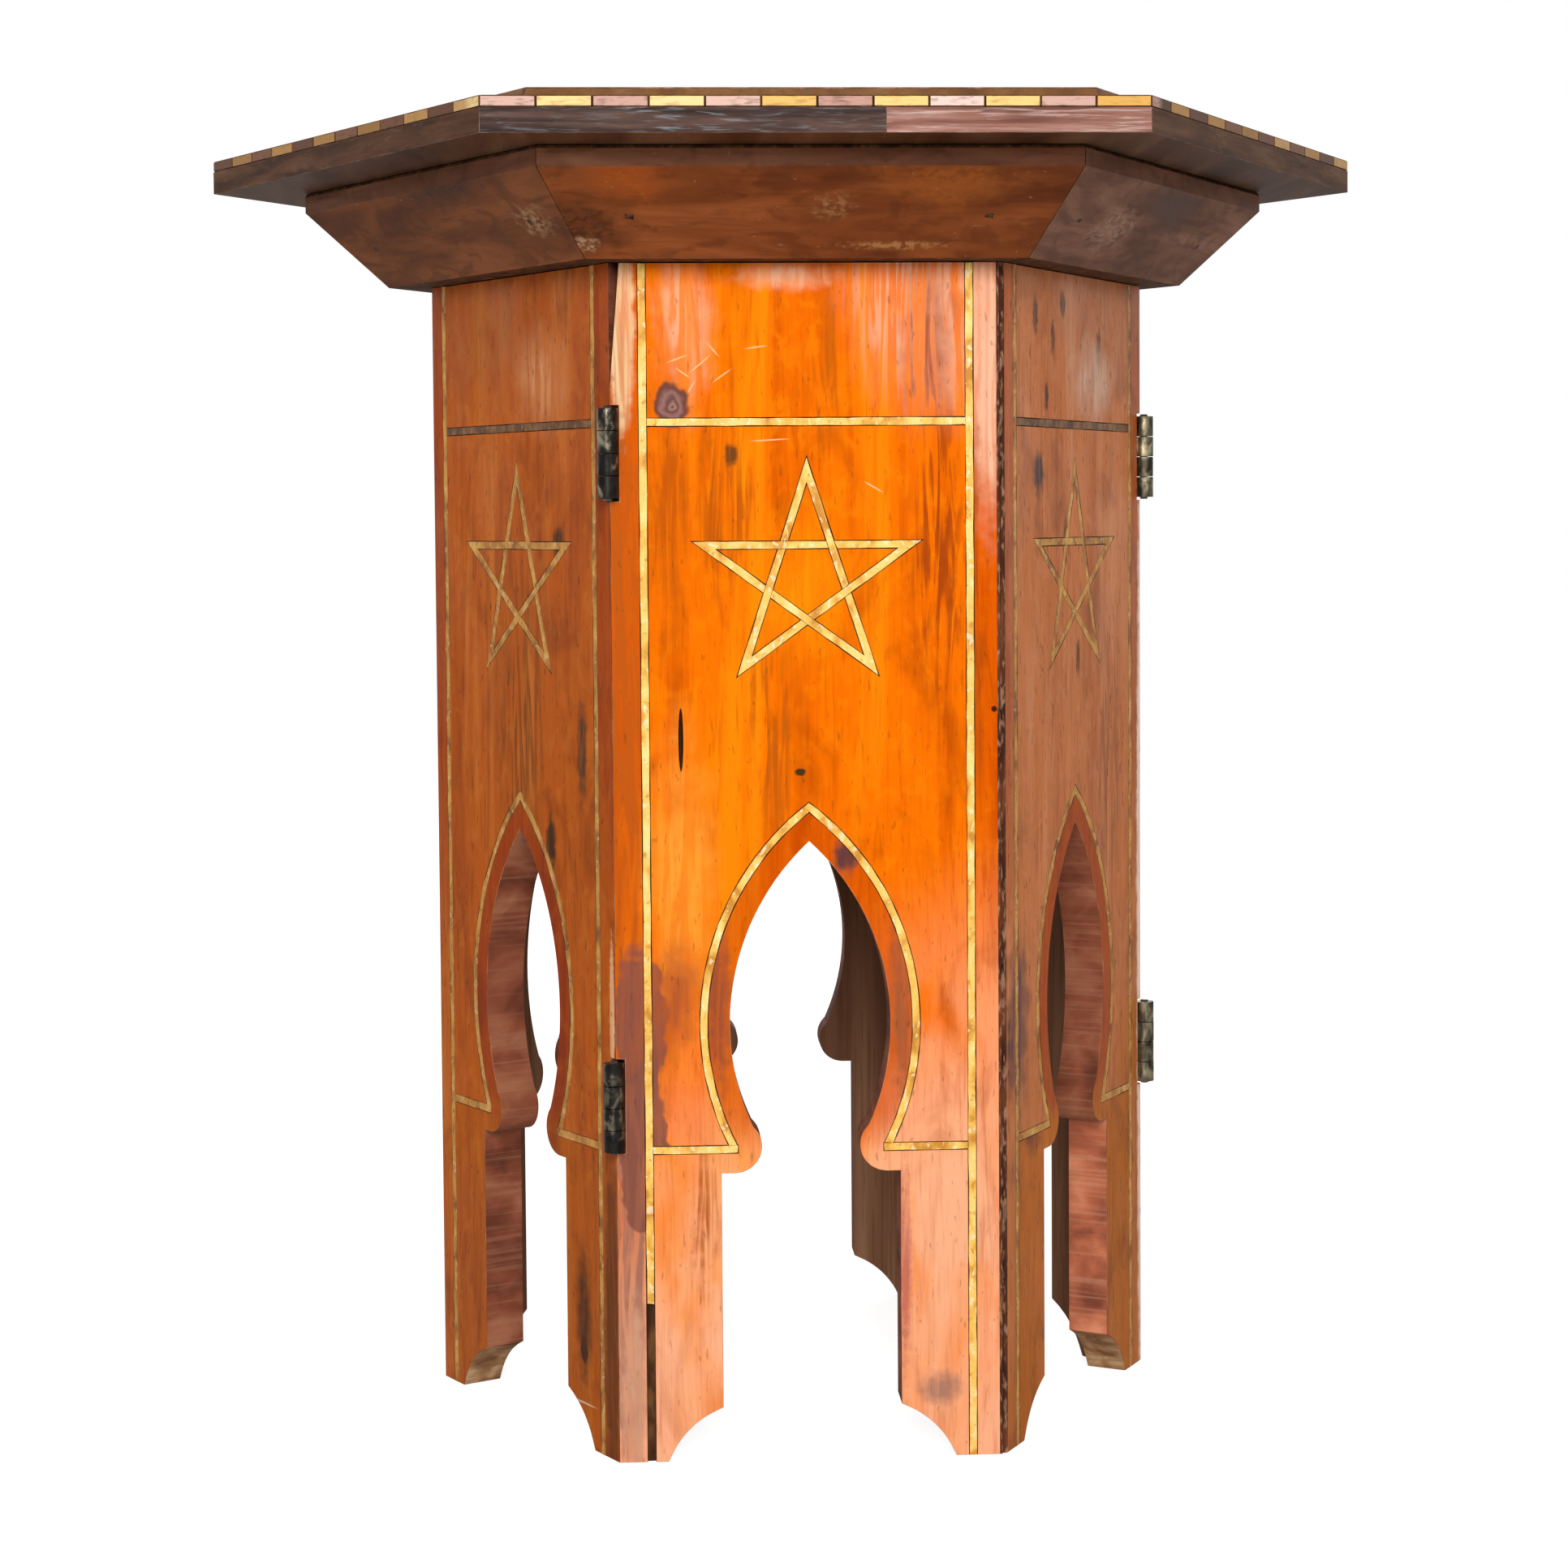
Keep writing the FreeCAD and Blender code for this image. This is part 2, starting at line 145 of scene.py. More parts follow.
def coat(tree, shader, colour, relief, depth_mm, strength, roughness, mirror=0.5, metal=0.0):
    """Join a colour, a fine relief and a gloss to a finish's shader."""
    raised = node(tree, "Bump", None, {"Height": relief, "Distance": depth_mm * MM, "Strength": strength})
    fill(tree, shader, {"Base Color": colour, "Normal": raised, "Roughness": roughness,
                        "Specular IOR Level": mirror, "Metallic": metal})


COLOURS = {"data_type": "RGBA"}
DARKEN = {"data_type": "RGBA", "blend_type": "MULTIPLY"}
SMOOTH = {"interpolation_type": "SMOOTHSTEP"}
TIMES = {"operation": "MULTIPLY"}
print("white is", tuple(round(part, 3) for part in shade("#ffffff")))

# %% [markdown]
# Wood is mostly its grain: wide bands of darker and paler growth, and fine fibres, both drawn out along
# the tree. Both are noise stretched along one axis, and a tone is laid over where the noise is high.
# Stains and knots are ragged ovals: the distance from a centre, measured in half widths and shaken by
# noise. These motifs serve every wood on the table, so no picture of wood is needed.

# %% Grain and stain motifs
def streaks(tree, place, size_mm, shift=0.0, detail=3.0, distortion=0.4):
    """Noise whose bands have the given size in millimetres along x, y and z."""
    scale = tuple(1 / (size * MM) for size in size_mm)
    laid = node(tree, "Mapping", None,
                {"Vector": place, "Scale": scale, "Location": (shift, shift * 0.7, shift * 1.3)})
    return node(tree, "TexNoise", None,
                {"Vector": laid, "Scale": 1.0, "Detail": detail, "Distortion": distortion})


def overlaid(tree, colour, tone, pattern, low, high, share, blend=COLOURS):
    """A colour with a share of a tone over it where a pattern goes from low to high."""
    amount = node(tree, "MapRange", SMOOTH, {0: pattern, 1: low, 2: high, 4: share})
    return node(tree, "Mix", blend, {0: amount, 6: colour, 7: shade(tone)})


def oval(tree, place, centre_mm, half_mm, ragged, slant=0.0):
    """Distance from a point of the face, 1 on the rim of a ragged, slanting oval."""
    centre = (centre_mm[0] * MM, 0.0, centre_mm[1] * MM)
    reach = (1 / (half_mm[0] * MM), 0.0, 1 / (half_mm[1] * MM))
    away = node(tree, "VectorMath", {"operation": "SUBTRACT"}, {0: place, 1: centre})
    if slant:
        away = node(tree, "Mapping", None, {"Vector": away, "Rotation": (0, math.radians(slant), 0)})
    away = node(tree, "VectorMath", TIMES, {0: away, 1: reach})
    shaken = node(tree, "TexNoise", None, {"Vector": place, "Scale": 0.9 / (min(half_mm) * MM)}, out="Color")
    push = node(tree, "VectorMath", {"operation": "MULTIPLY_ADD"},
                {0: shaken, 1: (ragged * 2, 0, ragged * 2), 2: (-ragged, 0, -ragged)})
    away = node(tree, "VectorMath", {"operation": "ADD"}, {0: away, 1: push})
    return node(tree, "VectorMath", {"operation": "LENGTH"}, {0: away})


def stained(tree, place, colour, marks, veins):
    """A colour with marks laid over it, each a ragged oval broken up by the grain."""
    for tone, across, up, half_wide, half_high, ragged, soft, grain in marks:
        distance = oval(tree, place, (across, up), (half_wide, half_high), ragged)
        inside = node(tree, "MapRange", SMOOTH, {0: distance, 1: 1 - soft, 2: 1 + soft, 3: 1.0, 4: 0.0})
        broken = node(tree, "MapRange", SMOOTH, {0: veins, 1: 0.40, 2: 0.60, 3: 1.0 - grain, 4: 1.0})
        share = node(tree, "Math", TIMES, {0: inside, 1: broken})
        colour = node(tree, "Mix", COLOURS, {0: share, 6: colour, 7: shade(tone)})
    return colour


print("motifs: grain streaks, tones laid over, ragged stains")

# %% [markdown]
# The panels' faces are pine under old orange shellac: bright and glossy on the front, rubbed to a salmon
# pink down the legs, darker and dirtier on the other sides. The side left of the front is darkest, partly as
# painted shade. One list of tones would make six equal sides, so each has its own, and its own marks of
# wear: stains, scuffs, margins worn pale and dents. Some pale marks high on the front are painted sheen, and
# a pale line down the right edge of the side right of the front is a painted highlight.

# %% Tones and marks of the six faces
FACE_TONES = {
    # side: growth line, dark band, middle, light band, rubbed tone and its share, share of dirt
    "front": ("#a84202", "#de5e02", "#f87202", "#fe8608", "#ffb68c", 0.95, 0.3),
    "front_right": ("#8c4a28", "#c26c3a", "#d27c46", "#de9060", "#bc6a20", 0.7, 0.5),
    "back_right": ("#8a4818", "#bc6822", "#cc7628", "#d88a40", "#d8985e", 0.4, 0.5),
    "back": ("#904a14", "#c86c1a", "#d87a20", "#e09036", "#dc9c60", 0.5, 0.4),
    "back_left": ("#844214", "#b66018", "#c66e1e", "#d28234", "#d49458", 0.4, 0.5),
    # front_left has the darkest tones, partly as painted shade
    "front_left": ("#7c3204", "#b04e08", "#c25c0e", "#d07226", "#b8601e", 0.3, 0.6),
}
# Marks: tone, place across and up in mm, half width and height in mm, raggedness, softness, broken by grain
FACE_MARKS = {
    "front": (
        ("#bc5616", -66, 262, 6.5, 130, 0.3, 0.3, 0.5), ("#ff9c34", -46, 212, 10, 42, 0.7, 0.8, 0.5),
        # The four pale marks high up, at 65, 42, -44 and -7 across, are painted sheen.
        ("#f4bc9a", 65, 398, 6, 52, 0.4, 0.5, 0.4), ("#f0ac88", 42, 416, 20, 30, 0.7, 0.8, 0.8),
        ("#f4ae84", -44, 410, 8, 24, 0.6, 0.8, 0.8), ("#f6b088", -7, 427, 14, 4, 0.6, 0.7, 0.4),
        ("#a8563c", 42, 402, 7, 26, 0.5, 0.7, 1.0), ("#a8440c", 47, 332, 8, 50, 0.5, 0.6, 1.0),
        ("#b04c0c", 60, 300, 4, 60, 0.5, 0.6, 1.0), ("#b8560c", -30, 345, 10, 26, 0.7, 0.7, 1.0),
        ("#c25c0a", 8, 392, 6, 22, 0.6, 0.7, 1.0), ("#c05a0c", -12, 262, 8, 30, 0.6, 0.7, 1.0),
        ("#6a3e1c", -27, 364, 2.2, 3.6, 0.5, 0.4, 0.2),
        ("#ecc898", -65.5, 410, 4.4, 36, 0.3, 0.25, 0.6),
        ("#a8705c", -66, 70, 6, 80, 0.5, 0.3, 0.5), ("#d09a7c", -64, 24, 5, 30, 0.6, 0.4, 0.6),
        ("#40301c", -3, 250, 1.9, 1.3, 0.3, 0.3, 0.0), ("#3c1c0c", 67, 272, 1.1, 1.1, 0.2, 0.3, 0.0),
        ("#8a5040", -61, 160, 10, 27, 0.5, 0.08, 0.15), ("#885244", -60, 114, 9, 32, 0.5, 0.07, 0.15),
        ("#b0562c", -48, 170, 7, 16, 0.6, 0.8, 0.2), ("#c0560a", -49, 345, 8, 44, 0.7, 0.8, 0.6),
        ("#fe8c06", -2, 316, 16, 20, 0.7, 0.8, 0.5)),
    "front_right": (
        ("#4a3228", -39, 415, 2.2, 7, 0.6, 0.4, 0.4), ("#4a3228", -22, 408, 1.8, 6, 0.6, 0.4, 0.4),
        ("#4a3228", -12, 420, 2.4, 5, 0.6, 0.4, 0.4), ("#523a30", 25, 404, 2, 9, 0.6, 0.4, 0.4),
        ("#523a30", -28, 386, 1.6, 5, 0.6, 0.4, 0.4), ("#4e3c3e", -36, 357, 5, 8, 0.7, 0.4, 0.3),
        ("#5a3a28", -10, 331, 2.4, 8, 0.5, 0.4, 0.4), ("#5a3a28", 3, 287, 1.8, 7, 0.5, 0.4, 0.4),
        ("#5c3c3c", -58, 156, 9, 28, 0.7, 0.5, 0.3), ("#e2b498", 20, 392, 16, 12, 0.8, 0.8, 0.5),
        ("#a86440", 34, 250, 12, 50, 0.8, 0.8, 0.9),
        # The last mark, a pale line down the right edge, is a painted highlight of the light that the edge
        # catches.
        ("#ffe0cc", 71.4, 170, 5.4, 200, 0.3, 0.25, 0.15)),
    "front_left": (
        ("#4a2c14", 32, 333, 4, 6, 0.6, 0.5, 0.3), ("#4c3420", 48, 257, 3.5, 16, 0.6, 0.5, 0.3),
        ("#3a2412", 24, 222, 3.5, 9, 0.6, 0.4, 0.3), ("#b8682e", -20, 410, 24, 16, 0.8, 0.8, 0.9),
        ("#dc9460", 20, 392, 14, 16, 0.8, 0.8, 0.6), ("#8c480e", 0, 270, 16, 40, 0.8, 0.8, 0.9),
        ("#6e3812", 66, 52, 6, 64, 0.4, 0.4, 0.2), ("#f0b888", 68, 162, 1.6, 28, 0.3, 0.2, 0.2)),
    "back": (
        ("#6e4424", 20, 350, 14, 40, 0.9, 0.7, 0.8), ("#4a3020", -30, 400, 5, 7, 0.6, 0.4, 0.3)),
    "back_left": (
        ("#5c3a20", -24, 280, 12, 30, 0.9, 0.7, 0.8), ("#43291a", 30, 396, 4, 9, 0.6, 0.4, 0.3)),
    "back_right": (
        ("#5c3a20", 16, 380, 20, 22, 0.9, 0.7, 0.8), ("#43291a", -34, 300, 5, 6, 0.6, 0.4, 0.3)),
}
LEG_MARKS = {
    "front": (
        ("#5a383a", 13, 219, 4, 6, 0.5, 0.5, 0.2), ("#b07c66", 46, 25, 7, 5, 0.7, 0.6, 0.2),
        ("#c8705c", 34, 70, 2, 30, 0.5, 0.6, 0.4), ("#9c4e30", -33, 168, 4, 30, 0.6, 0.7, 0.3),
        ("#a45834", 33, 165, 4, 30, 0.6, 0.7, 0.3), ("#b8602c", -38, 90, 4, 24, 0.7, 0.8, 0.9)),
    "front_left": (
        ("#2e1a0c", 45, 36, 2.6, 5, 0.4, 0.3, 0.0), ("#4c280e", 45, 48, 5, 20, 0.6, 0.7, 0.2),
        ("#d8b890", 44, 16, 9, 0.4, 0.2, 0.3, 0.0)),
    "front_right": (("#5c3428", -44, 120, 8, 14, 0.7, 0.6, 0.3),),
}
LEG_TONES = {"front": ("#a84202", "#e26a04", "#f98008", "#fe9216"),
             # The front_left legs are darker partly as painted shade too
             "front_left": ("#7a3002", "#a84a04", "#bc5a06", "#ca7018"),
             "front_right": ("#84400e", "#b85e0c", "#cc6c12", "#d87c24")}
print("faces with marks:", len(FACE_MARKS))

# %% [markdown]
# Pine shows broad bands, about 14 mm here, and darker growth lines 5 or 6 mm apart. Its fibres are finer
# than the 0.9 mm drawn here, which is coarser than life so that they show. Late wood takes stain darkest,
# so blotches, growth lines and fibres share one dark tone.

# %% Pine grain
def pine(tree, place, side, dark, middle, light):
    """Broad bands of pine with a ripple of its lightest tone."""
    bands = streaks(tree, place, (14, 14, 200), shift=side * 3.7 + 0.4, distortion=0.8)
    mottle = streaks(tree, place, (7, 7, 9), shift=side * 4.3, detail=4.0, distortion=0.8)
    colour = node(tree, "ValToRGB", None, {"Fac": bands},
                  [(0.32, dark), (0.46, middle), (0.56, middle), (0.68, light)])
    return overlaid(tree, colour, light, mottle, 0.46, 0.72, 0.5)


def dark_grain(tree, place, side, colour, tone, growth, depth):
    """Blotches, growth lines and fibres in the tone of the late wood."""
    blotches = streaks(tree, place, (22, 22, 40), shift=side * 7.1 + 2, detail=4.0, distortion=1.0)
    fibres = streaks(tree, place, (0.9, 0.9, 18), shift=side * 1.9, detail=2.0)
    colour = overlaid(tree, colour, tone, blotches, 0.50, 0.76, 0.55 * depth)
    colour = overlaid(tree, colour, tone, growth, 0.50, 0.76, 0.45 * depth)
    return overlaid(tree, colour, tone, fibres, 0.46, 0.80, 0.24)


print("pine grain: bands, growth lines, fibres")

# %% [markdown]
# Shellac wears where it is touched and darkens where it isn't. It is rubbed away low on the panels,
# where feet and cloths reach, and has reddened in the margins outside the upright strips and round the
# arch. Only the front has a knot, drawn as rings of distance, and scratches, which are very thin ovals.

# %% Wear of the shellac
STRIP_EDGE, STEP = 58.7, 0.1
KNOT_PLACE, KNOT_HALF, SCRATCH_HALF = (-48, 381.5), (6.4, 8.2), 0.28
KNOT_RINGS = [(0.0, "#3a2824"), (0.16, "#9a7c70"), (0.34, "#5c4040"), (0.56, "#8e6c68"), (0.8, "#5e3c3a"),
              (0.95, "#7c4a34")]
# Scratches on the front: place across and up, half length in mm, and slant in degrees
SCRATCHES = ((-46, 398, 4, 20), (-44, 393, 3, -35), (-38, 396, 5, 40), (-33, 401, 3, -50), (-30, 392, 4, 35),
             (-41, 388, 2.5, 60), (-18, 402, 4, 8), (-13, 369, 7, 3), (24, 352, 4, -30), (36, 160, 4, 75))


def rubbed_low(tree, parts, cloud, colour, tone, share):
    """Shellac rubbed away in patches low on the panel, and higher up towards its right."""
    lean = node(tree, "Math", {"operation": "MULTIPLY_ADD"}, {0: parts["X"], 1: -0.55, 2: parts["Z"]})
    low = node(tree, "MapRange", SMOOTH, {0: lean, 1: 60 * MM, 2: 200 * MM, 3: share, 4: 0.0})
    patchy = node(tree, "MapRange", SMOOTH, {0: cloud, 1: 0.26, 2: 0.56})
    worn = node(tree, "Math", TIMES, {0: low, 1: patchy})
    return node(tree, "Mix", COLOURS, {0: worn, 6: colour, 7: shade(tone)})


def reddened(tree, parts, colour, region):
    """Redder margins outside the upright strips, and a redder band inside the arch strip."""
    across = node(tree, "Math", {"operation": "ABSOLUTE"}, {0: parts["X"]})
    margin = node(tree, "MapRange", None,
                  {0: across, 1: (STRIP_EDGE - STEP) * MM, 2: (STRIP_EDGE + STEP) * MM})
    above = node(tree, "MapRange", SMOOTH, {0: parts["Z"], 1: 160 * MM, 2: 270 * MM, 4: 0.5})
    share = node(tree, "Math", TIMES, {0: margin, 1: above})
    colour = node(tree, "Mix", DARKEN, {0: share, 6: colour, 7: shade("#c47e52")})
    if region == "legs":
        colour = overlaid(tree, colour, "#d8a084", parts["Z"], 108 * MM, 128 * MM, 0.8, DARKEN)
    return colour


def knot_and_scratches(tree, place, colour):
    """The knot with its rings, and the scratches, which show pale wood."""
    knot = oval(tree, place, KNOT_PLACE, KNOT_HALF, 0.45)
    rings = node(tree, "ValToRGB", None, {"Fac": knot}, KNOT_RINGS)
    inside = node(tree, "MapRange", SMOOTH, {0: knot, 1: 0.86, 2: 1.08, 3: 0.95, 4: 0.0})
    colour = node(tree, "Mix", COLOURS, {0: inside, 6: colour, 7: rings})
    for across, up, length, slant in SCRATCHES:
        nick = oval(tree, place, (across, up), (length, SCRATCH_HALF), 0.3, slant)
        cut = node(tree, "MapRange", SMOOTH, {0: nick, 1: 0.6, 2: 1.2, 3: 0.75, 4: 0.0})
        colour = node(tree, "Mix", COLOURS, {0: cut, 6: colour, 7: shade("#f8cc98")})
    return colour


print("wear: rubbed low, reddened margins, a knot and", len(SCRATCHES), "scratches")

# %% [markdown]
# Orange shellac is a thin amber film brushed over the wood. It gives the eye deep colour and a soft
# gloss: a low roughness that clouds of wear vary, and a weak mirror, because the old film is dull. Its
# reflections are tinted amber too. White ones would turn the orange pink.

# %% Shellac finish
def shellac(side, region):
    """Orange shellac over pine on the field or the legs of one side."""
    name = SIDES[side]
    line, dark, middle, light, rubbed, rubbed_share, dirt = FACE_TONES[name]
    marks = FACE_MARKS[name]
    if region == "legs":
        line, dark, middle, light = LEG_TONES.get(name, FACE_TONES[name][:4])
        marks = LEG_MARKS.get(name, ())
    depth = 0.5 if (name, region) == ("front", "legs") else 1.0
    material, tree, shader, place = new_finish("orange_shellac_pine_" + name + "_" + region, side)
    parts = node(tree, "SeparateXYZ", None, {0: place}).node.outputs
    growth = streaks(tree, place, (5.5, 5.5, 70), shift=side * 2.1, detail=5.0, distortion=2.2)
    cloud = streaks(tree, place, (30, 30, 60), shift=side * 5.3)
    flecks = streaks(tree, place, (1.3, 1.3, 5.5), shift=side * 2.3 + 5, detail=1.0)
    colour = pine(tree, place, side, dark, middle, light)
    colour = rubbed_low(tree, parts, cloud, colour, rubbed, rubbed_share)
    colour = dark_grain(tree, place, side, colour, line, growth, depth)
    colour = reddened(tree, parts, colour, region)
    colour = stained(tree, place, colour, marks, growth)
    colour = overlaid(tree, colour, "#4c2810", flecks, 0.66, 0.74, dirt)
    if (name, region) == ("front", "field"):
        colour = knot_and_scratches(tree, place, colour)
    dull = node(tree, "MapRange", SMOOTH, {0: cloud, 1: 0.35, 2: 0.70, 3: 0.30, 4: 0.48})
    coat(tree, shader, colour, growth, depth_mm=0.12, strength=0.5, roughness=dull, mirror=0.09)
    fill(tree, shader, {"Specular Tint": shade("#ff9a40")})
    return material


field_finish = [shellac(side, "field") for side in range(6)]
leg_finish = [shellac(side, "legs") for side in range(6)]
print("shellac finishes:", len(field_finish) + len(leg_finish))

# %% [markdown]
# Where a saw or a rasp went through the wood no shellac took: the arch walls and the mitred edges are a
# purple brown with saw marks every 1.6 mm or so. The insides of the panels are bare, dull and dusty.
# Rubbed corners show raw wood, open mitres are full of grime, and the grooves hold old dark glue. All are
# one kind of surface, bands under fine lines, so one function serves them.

# %% Cut, bare, rubbed and glued wood
def bare_wood(name, tones, band_mm, line_mm, roughness, depth_mm, lines_share=0.5, line_tone=None):
    """Unfinished wood: bands, and fine lines that are fibres or saw marks."""
    material, tree, shader, place = new_finish(name)
    bands = streaks(tree, place, band_mm, shift=2.0, detail=4.0)
    relief = streaks(tree, place, line_mm, shift=4.1, detail=2.0)
    colour = node(tree, "ValToRGB", None, {"Fac": bands}, zip((0.32, 0.50, 0.68), tones))
    colour = overlaid(tree, colour, line_tone or tones[0], relief, 0.48, 0.70, lines_share)
    coat(tree, shader, colour, relief, depth_mm, strength=0.7, roughness=roughness, mirror=0.15)
    return material


# Sawn pine: purple brown and dull, its level saw marks show that the arch was cut
sawn_edge = bare_wood("sawn_pine_edge", ("#5e3022", "#8c4c34", "#aa6c4e"), (26, 26, 18), (60, 60, 1.6),
                      0.7, 0.3, 0.25, "#b88466")
# Sawn pine on the leg walls of one side, paler and pinker than the other sawn faces: painted light that
# these walls catch
sawn_lit_leg = bare_wood("sawn_pine_leg_lit", ("#844633", "#c26d4c", "#ec9770"), (26, 26, 18), (60, 60, 1.6),
                       0.7, 0.3, 0.25, "#e6ac8c")
# Raw end grain under the feet, pale and dry
foot_raw = bare_wood("raw_pine_foot", ("#84583a", "#ac8058", "#ccaa80"), (9, 9, 5), (14, 14, 1.2), 0.75, 0.2)
# Bare pine inside, a dusty brown with upright fibres, without any shine
inner_face = bare_wood("bare_pine_inside", ("#6c4630", "#8e6246", "#a87c5c"), (16, 16, 240), (1.4, 1.4, 50),
                       0.75, 0.15)
# Rubbed corners, a lighter line along each outline: bright on the front, brown elsewhere, pale at one edge,
# where the pale is worn wood and painted highlight
rubbed_bright, rubbed_brown, rubbed_and_lit_pale = [
    bare_wood("rubbed_pine_" + name, tones, (5, 5, 14), (1, 1, 9), 0.6, 0.1)
    for name, tones in (("bright", ("#b86030", "#d9814c", "#f2b48c")),
                        ("brown", ("#7c4420", "#9c6038", "#c08a64")),
                        ("pale", ("#e0a888", "#f8ccb0", "#fff0e0")))]
# Grime in the open mitres, nearly black with pale crumbs, draws a line between two sides
corner_grime = bare_wood("grimy_open_mitre", ("#341a10", "#552c1a", "#7a4629"), (5, 5, 22), (1.5, 1.5, 5),
                         0.75, 0.25, 0.65, "#c49474")
# Hide glue gone dark, a thin line that sets off the pale strips
old_glue = bare_wood("old_hide_glue", ("#341d0e", "#503018", "#704a28"), (4, 4, 12), (1, 1, 6), 0.8, 0.1)
print("bare finishes:", sawn_edge.name, inner_face.name, corner_grime.name, old_glue.name)

# %% [markdown]
# Every visible piece starts on the bench: a merged copy of its solid, turned to the front's position so
# that one set of rules serves six sides. There it gets a finish by where each face lies, its edges are
# rounded, and it is turned back and put in its place. Weighted normals keep the broad faces flat to the
# eye beside their rounded edges.

# %% Choosing faces and edges
def take(piece):
    """Make a piece the only selected and the active one."""
    bpy.ops.object.select_all(action="DESELECT")
    piece.select_set(True)
    bpy.context.view_layer.objects.active = piece


def choose(piece, wanted, kind="EDGE"):
    """Select the faces, or the edges between two faces, that a rule wants, and count them."""
    bpy.ops.mesh.select_mode(type=kind)
    bpy.ops.mesh.select_all(action="DESELECT")
    shape = bmesh.from_edit_mesh(piece.data)
    parts = shape.faces if kind == "FACE" else [edge for edge in shape.edges if len(edge.link_faces) == 2]
    chosen = [part for part in parts if wanted(part)]
    for part in chosen:
        part.select_set(True)
    bmesh.update_edit_mesh(piece.data)
    return len(chosen)


def along(edge):
    """The step from one end of an edge to the other."""
    return edge.verts[1].co - edge.verts[0].co


def sharp(edge, degrees=20):
    """An outer corner of a solid, sharper than a number of degrees."""
    return edge.calc_face_angle(0) > math.radians(degrees) and edge.is_convex


def between(some, others, degrees=20):
    """A rule for outer corners where a finish of one group meets one of another."""
    def wanted(edge):
        kinds = {face.material_index for face in edge.link_faces}
        return bool(kinds & some) and bool(kinds & others) and sharp(edge, degrees)
    return wanted


def round_edges(piece, wanted, width_mm, segments=2, finish=-1):
    """Bevel the edges that a rule wants, with a finish of their own if given, and count them."""
    count = choose(piece, wanted)
    if count:
        bpy.ops.mesh.bevel(offset=width_mm * MM, segments=segments, material=finish, clamp_overlap=True)
    return count


def give_finish(piece, finish):
    """Give the selected faces a finish of the piece."""
    piece.active_material_index = finish
    bpy.ops.object.material_slot_assign()


print("rules choose faces and edges by place and normal")

# %% Bench helpers
MERGE, SLIVER, CRUMB, FLAT_ANGLE = 0.002, 0.03, 0.004, 0.3


def bench_copy(source, side, finishes, rule, kept=None):
    """A merged copy of a node's mesh in the front's position, in edit mode, with a finish for each face.

    Flat faces become one polygon each, but for the finish that is kept as triangles."""
    mesh = frame["nodes"][source].data.copy()
    mesh.materials.clear()
    for finish in finishes:
        mesh.materials.append(finish)
    piece = bpy.data.objects.new("worn_" + source, mesh)
    scene.collection.objects.link(piece)
    mesh.transform(Matrix.Rotation(-math.radians(SIDE_ANGLE * side), 4, "Z"))
    for face in mesh.polygons:
        face.material_index = rule(face.center, face.normal)
    take(piece)
    bpy.ops.object.mode_set(mode="EDIT")
    bpy.ops.mesh.select_all(action="SELECT")
    bpy.ops.mesh.remove_doubles(threshold=MERGE * MM)
    bpy.ops.mesh.dissolve_degenerate(threshold=SLIVER * MM)
    choose(piece, lambda face: face.material_index != kept, "FACE")
    bpy.ops.mesh.dissolve_limited(angle_limit=math.radians(FLAT_ANGLE), delimit={"MATERIAL"})
    return piece


def put_back(piece, source, side, body, angle=35):
    """Turn a finished piece to its place, shade it and let it stand for its node."""
    bpy.ops.object.mode_set(mode="OBJECT")
    take(piece)
    bpy.ops.object.mode_set(mode="EDIT")
    bpy.ops.mesh.select_all(action="SELECT")
    bpy.ops.mesh.dissolve_degenerate(threshold=CRUMB * MM)
    bpy.ops.object.mode_set(mode="OBJECT")
    piece.data.transform(Matrix.Rotation(math.radians(SIDE_ANGLE * side), 4, "Z"))
    bpy.ops.object.shade_smooth_by_angle(angle=math.radians(angle))
    bpy.ops.object.modifier_add(type="WEIGHTED_NORMAL")
    weighted = piece.modifiers[-1]
    weighted.keep_sharp = True
    bpy.ops.object.modifier_apply(modifier=weighted.name)
    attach(piece, body)
    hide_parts(source)


def worn_piece(source, side, body, finishes, rule, rounds, angle=35):
    """A worn copy of a node. Each row of rounds says which edges, width in mm, segments and finish."""
    piece = bench_copy(source, side, finishes, rule)
    counts = [round_edges(piece, *row) for row in rounds]
    put_back(piece, source, side, body, angle)
    print(piece.name, "edges rounded:", *counts)


print("bench ready for", len(SIDES), "sides")

# %% [markdown]
# Each panel is one board with a keel arch, cut with a bow saw. The solid's arch is made of flats. A bevel
# of their edges would eat into the arch, so the flats are divided and their new corners brought out to
# the true circles. No operator does that round a hub of its own, so the places are worked out in code.

# %% Arch
ARCH_HUB, ARCH_RADIUS = (60.59, 159.0), 89.59
ARCH_LOW, ARCH_HIGH, LONGEST_FLAT = 113, 240, 25
LEVEL, ON_CIRCLE, DEEPEST_FLAT = 0.01, 0.02, 0.8
STRIP_OFFSET, STRIP_HALF, GROOVE_HALF = 9.4, 1.4, 1.5
STRIP_RADIUS = ARCH_RADIUS + STRIP_OFFSET


def arch_radius(point):
    """Distance in mm from the hub of the arch side that a point is on."""
    hub_x = math.copysign(ARCH_HUB[0], -point.x)
    return math.hypot(point.x / MM - hub_x, point.z / MM - ARCH_HUB[1])


